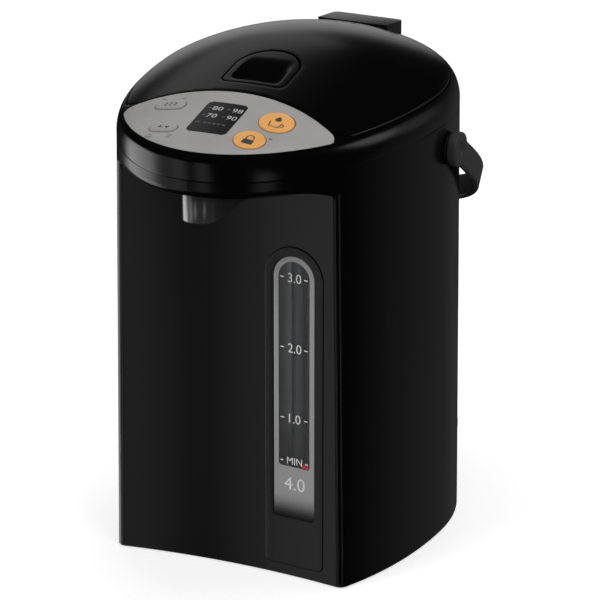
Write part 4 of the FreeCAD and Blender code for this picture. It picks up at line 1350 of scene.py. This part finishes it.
@dataclass
class Gauge:
    """Level gauge on the hollow panel: cover strip, silver plate and scale.

    Each edge and hole holds its half width, the height of its foot and its corner radius.
    """

    looks: Finishes
    centre_x: float = 48.1
    spring: float = 220.3
    axis_y: float = -653.0
    radius: float = 540.0
    proud: float = 0.6
    levels: tuple[tuple[str, float], ...] = (("3.0", 220.5), ("2.0", 170.0), ("1.0", 118.7))
    strip_edge: Triple = (22.35, 8.4, 5.0)
    strip_hole: Triple = (15.6, 45.0, 2.0)
    plate_edge: Triple = (15.5, 45.1, 2.0)
    plate_hole: Triple = (11.85, 83.0, 1.5)

    def arch(self, half: float, bottom: float, corner: float, count: int) -> Array:
        """Return an upright slot with a round top and rounded foot corners."""
        slot = arched(half, bottom, self.spring, half, corner, 20, count)
        return slot + np.array([self.centre_x, 0.0])

    def on_wall(self, points: Array) -> Array:
        """Send (x, z, lift) to the hollow wall: y = axis + sqrt((radius - lift)^2 - x^2)."""
        y = self.axis_y + np.sqrt((self.radius - points[:, 2]) ** 2 - points[:, 0] ** 2)
        return np.column_stack([points[:, 0], y, points[:, 1]])

    def layer(self, outer: Array, inner: Array, roll: float) -> Shape:
        """Return one layer of the gauge with rolled edges and a window in it.

        Args:
            outer: Its outline.
            inner: The window's outline.
            roll: Radius of the outer edge, twice that of the window's.

        Returns:
            The layer on the wall.
        """
        edges = [EdgeLoop(outer, roll, 0.6), EdgeLoop(inner, roll * 0.5, 0.6, hole=True)]
        flat = Sheet(lambda p: np.full(p.shape[:-1], self.proud), edges, 2.5).shape()
        return flat.mapped(self.on_wall)

    def mark(self, name: str, shape: Shape, place: Pair, lift: float, finish: Finish,
             slot: str) -> None:
        """Print a flat drawing on the gauge.

        Args:
            name: Name of the piece.
            shape: The drawing.
            place: Its middle, across from the gauge's middle and up.
            lift: Height over the gauge's face.
            finish: The print's finish.
            slot: The record's material slot for it.
        """
        laid = facing_up(shifted(shape, self.centre_x + place[0], place[1]))
        laid.points[:, 2] = self.proud + lift
        laid.mapped(self.on_wall).piece(name, "pot", finish, slot)

    def scale(self) -> None:
        """Print the level numbers with a dash on each side, and the low mark."""
        parts: list[Shape] = []
        for text, z in self.levels:
            parts.append(shifted(lettering(text, 6.6, 0.95), 0.4, z))
            parts += [dash(x, z, 2.8, 0.8) for x in (-9.0, 9.0)]
        parts.append(shifted(lettering("MIN", 5.0, 0.95), 0.3, 87.4))
        parts += [dash(x, 87.0, 2.2, 0.8) for x in (-9.6, 9.6)]
        white, red = self.looks.print_white, self.looks.print_red
        self.mark("level_marks", joined(*parts), (0.0, 0.0), 0.02, white, "gauge_clear")
        capacity = lettering("4.0", 9.6, 0.98)
        self.mark("capacity_mark", capacity, (0.3, 70.6), 0.06, white, "plate_silver")
        low = patch(rounded_box(5.4, 2.6, 0.5, 24))
        self.mark("low_mark", low, (8.4, 84.9), 0.01, red, "gauge_clear")

    def build(self) -> None:
        """Build the strip, the plate and the print."""
        strip = self.layer(self.arch(*self.strip_edge, 300), self.arch(*self.strip_hole, 260), 0.5)
        strip.piece("gauge_strip", "pot", self.looks.body, "cover_black", "gauge_cover")
        plate = self.layer(self.arch(*self.plate_edge, 260), self.arch(*self.plate_hole, 240), 0.2)
        plate.piece("gauge_silver", "pot", FadedPlate(), "plate_silver", "gauge_plate")
        self.scale()


@dataclass
class Carrier:
    """The swinging handle: a strap along a rounded U with a disc at each end."""

    looks: Finishes
    half_width: float = 116.7
    reach: float = 148.0
    roundness: float = 2.52
    droop: float = 32.7
    thickness: float = 5.0
    strap: float = 18.0
    strap_corner: float = 1.9
    end: float = 0.02
    disc_radius: float = 12.0
    disc_back: float = 110.8
    disc_face: float = 117.5
    disc_round: float = 1.6
    pivot: Triple = (0.0, 7.5, 282.5)

    def bow(self) -> Shape:
        """Sweep a rounded rectangle along x = a cos^(2/n), y = b sin^(2/n).

        Returns:
            The strap, level and about the pivot.
        """
        turn = np.linspace(self.end, math.pi - self.end, 220)
        power = 2 / self.roundness
        x = self.half_width * np.sign(np.cos(turn)) * np.abs(np.cos(turn)) ** power
        path = np.stack([x, self.reach * np.sin(turn) ** power], -1)
        run = unit(np.gradient(path, axis=0))
        outward = np.stack([run[:, 1], -run[:, 0]], -1)
        section = rounded_box(self.thickness, self.strap, self.strap_corner, 48)
        section[:, 0] -= self.thickness / 2
        points = np.zeros((len(path), len(section), 3))
        points[..., :2] = path[:, None] + outward[:, None] * section[None, :, :1]
        points[..., 2] = section[None, :, 1]
        return grid(points[:, ::-1], close_columns=True)

    def boss(self) -> Shape:
        """Spin the disc at the handle's end: rounded rim, flat face and a shallow dimple.

        Returns:
            The disc on the +X side, about the pivot.
        """
        radius, face, back, soft = self.disc_radius, self.disc_face, self.disc_back, self.disc_round
        bend = np.linspace(0, math.pi / 2, 8)
        rim = np.stack([radius - soft + soft * np.cos(bend), face - soft + soft * np.sin(bend)], -1)
        root = [(0.0, 0.0), (radius - 1.0, 0.0), (radius - 0.2, 0.6), (radius, 1.6)]
        dimple = [(5.6, 0.0), (5.0, 0.2), (4.4, 0.9), (3.0, 1.2), (0.0, 1.3)]
        profile = np.vstack([
            [(r, back + rise) for r, rise in root], rim, [(r, face - sink) for r, sink in dimple]])
        return lathe(profile, 72).moved(Matrix.Rotation(math.pi / 2, 4, "Y"))

    def build(self) -> None:
        """Build the handle as one piece, laid back to its rest angle."""
        boss = self.boss()
        tilt = Matrix.Translation(self.pivot) @ Matrix.Rotation(-math.radians(self.droop), 4, "X")
        whole = joined(self.bow(), boss, boss.mirrored()).moved(tilt)
        whole.piece("handle_bow", "handle", self.looks.handle, "handle_black", "handle")


# Studio


def direction(bearing: float, height: float) -> Vector:
    """Return the unit vector towards a place on the sky.

    Args:
        bearing: Degrees from the front towards +X.
        height: Degrees over the horizon.

    Returns:
        The unit vector.
    """
    turn, rise = math.radians(bearing), math.radians(height)
    level = math.cos(rise)
    return Vector((math.sin(turn) * level, -math.cos(turn) * level, math.sin(rise)))


@dataclass(frozen=True)
class Card:
    """A soft bright card seen only in the gloss, full to one angle and gone at another."""

    bearing: float
    height: float
    inner: float
    outer: float
    bright: float

    def mask(self, bench: Bench, place: bpy.types.NodeSocket) -> bpy.types.NodeSocket:
        """Add the card's mask, a smooth step in the cosine of the angle to the card.

        Args:
            bench: The world's bench.
            place: Output with the view direction.

        Returns:
            The output with the card's brightness.
        """
        facing = bench.add("VectorMath", {0: place, 1: direction(self.bearing, self.height)},
                           operation="DOT_PRODUCT")
        return bench.add("MapRange", {
            "From Min": math.cos(math.radians(self.outer)),
            "From Max": math.cos(math.radians(self.inner)),
            "To Max": self.bright, "Value": facing.outputs["Value"],
        }, interpolation_type="SMOOTHSTEP").outputs["Result"]


@dataclass(frozen=True)
class Lamp:
    """A square soft lamp in metres and watts, hung at a place and aimed at the pot."""

    name: str
    place: Triple
    size: float
    power: float
    aim: Triple = (0, 0, 0.2)

    def hang(self) -> None:
        """Put the lamp in the scene, unseen in the gloss."""
        data = bpy.data.lights.new(self.name, "AREA")
        data.shape, data.size, data.energy = "SQUARE", self.size, self.power
        lamp = placed(self.name, data)
        lamp.location = self.place
        lamp.visible_glossy = False
        lamp.rotation_mode = "QUATERNION"
        lamp.rotation_quaternion = (Vector(self.aim) - Vector(self.place)).to_track_quat("-Z", "Y")


@dataclass
class Studio:
    """Camera, lamps, floor and surroundings. The picture's width is in pixels."""

    azimuth: float = 24.235
    elevation: float = 21.295
    distance: float = 2506.35
    target_x: float = 0.29
    target_z: float = 156.302
    scale: float = 1.419
    picture: float = 600.0
    sensor: float = 36.0
    glossy_base: float = 0.008
    ambient: float = 0.05
    floor_reach: float = 8.0
    floor_grey: float = 0.62
    lamps: tuple[Lamp, ...] = (
        Lamp("key", (-1.6, -2.2, 2.6), 1.6, 60),
        Lamp("fill", (2.4, -1.6, 1.6), 1.8, 30),
        Lamp("top", (0.2, 0.4, 2.8), 1.4, 40),
    )
    cards: tuple[Card, ...] = (
        Card(-8.0, -22.0, 5.0, 11.0, 0.48),
        Card(-35.0, -22.0, 7.0, 12.0, 0.27),
        Card(-52.0, -22.0, 14.0, 27.0, 0.3),
        Card(51.0, -21.0, 4.0, 9.0, 0.5),
        Card(152.0, -22.0, 10.0, 45.0, 0.09),
        Card(-92.0, -22.0, 10.0, 28.0, 1.9),
        Card(-154.0, 2.0, 6.0, 17.0, 0.5),
        Card(-150.0, 27.0, 6.0, 15.0, 0.36),
        Card(136.0, 12.0, 6.0, 16.0, 0.2),
        Card(117.0, 18.0, 6.0, 15.0, 1.1),
    )

    def camera(self) -> None:
        """Place the camera that matches the photograph."""
        back = direction(self.azimuth, self.elevation)
        turn = math.radians(self.azimuth)
        right = Vector((math.cos(turn), math.sin(turn), 0))
        target = self.target_x * right + Vector((0, 0, self.target_z))
        data = bpy.data.cameras.new("camera")
        data.sensor_width = self.sensor
        data.lens = self.sensor * self.scale * self.distance / self.picture
        data.clip_start, data.clip_end = 0.05, 100.0
        camera = placed("camera", data)
        pose = Matrix((right, back.cross(right), back)).transposed().to_4x4()
        camera.matrix_world = Matrix.Translation((target + back * self.distance) * MM) @ pose
        bpy.context.scene.camera = camera

    def world(self) -> None:
        """Surround the pot: white for the camera and through glass, cards in the gloss."""
        world = bpy.data.worlds.new("studio")
        bpy.context.scene.world = world
        world.use_nodes = True
        bench = Bench(world.node_tree)
        place = bench.add("TexCoord").outputs["Generated"]
        total: Any = self.glossy_base
        for card in self.cards:
            total = bench.add("Math", {0: card.mask(bench, place), 1: total}).outputs[0]
        rays = bench.add("LightPath").outputs
        glossy = bench.add("Mix", {"Factor": rays["Is Glossy Ray"], "A": self.ambient, "B": total})
        seen = bench.add("Math", {0: rays["Is Camera Ray"], 1: rays["Is Transmission Ray"]},
                         operation="MAXIMUM")
        final = bench.add("Mix", {
            "Factor": seen.outputs[0], "A": glossy.outputs["Result"], "B": 1.0})
        shade = world.node_tree.nodes["Background"].inputs
        bench.feed(shade["Color"], (1, 1, 1, 1))
        bench.feed(shade["Strength"], final.outputs["Result"])

    def floor(self) -> None:
        """Lay a pale floor that looks white to the camera and keeps a soft shadow."""
        mesh = bpy.data.meshes.new("floor")
        reach, grey = self.floor_reach, self.floor_grey
        signs = ((-1, -1), (1, -1), (1, 1), (-1, 1))
        square = [(x * reach, y * reach, 0) for x, y in signs]
        mesh.from_pydata(square, [], [(0, 1, 2, 3)])
        floor = placed("floor", mesh)
        floor.visible_glossy = False
        material, bench = material_bench("pale floor")
        nodes = material.node_tree.nodes
        nodes.remove(nodes["Principled BSDF"])
        rays = bench.add("LightPath")
        matte = bench.add("BsdfDiffuse", {"Color": (grey, grey, grey, 1)}).outputs[0]
        glow = bench.add("Emission", {"Strength": grey}).outputs[0]
        both = bench.add("AddShader", {0: matte, 1: glow}).outputs[0]
        pick = bench.add("MixShader", {0: rays.outputs["Is Camera Ray"], 1: matte, 2: both})
        bench.feed(nodes["Material Output"].inputs["Surface"], pick.outputs[0])
        mesh.materials.append(material)

    def build(self) -> None:
        """Set up the view, the lamps, the world and the floor."""
        self.camera()
        for lamp in self.lamps:
            lamp.hang()
        self.world()
        self.floor()
        bpy.context.scene.view_settings.view_transform = "Standard"


def main() -> None:
    """Build the pot's looks in order."""
    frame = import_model()
    for grain in Grain:
        grain.build()
    looks, dome = Finishes(), Dome()
    seam = Seam(dome.egg)
    nodes = frame["nodes"]
    Studio().build()
    looks.dress(nodes)
    Head(dome, seam, looks).build()
    Lid(dome, seam, looks).build()
    Carrier(looks).build()
    Gauge(looks).build()
    softened(nodes["hinge_block"], "hinge_cap", "lid", looks.block, "cover_black", width=1.2)
    softened(nodes["spout_shroud"], "spout_cap", "pot", looks.spout, "cover_black", width=0.5)


if __name__ == "__main__":
    logging.basicConfig(level=logging.INFO)
    main()
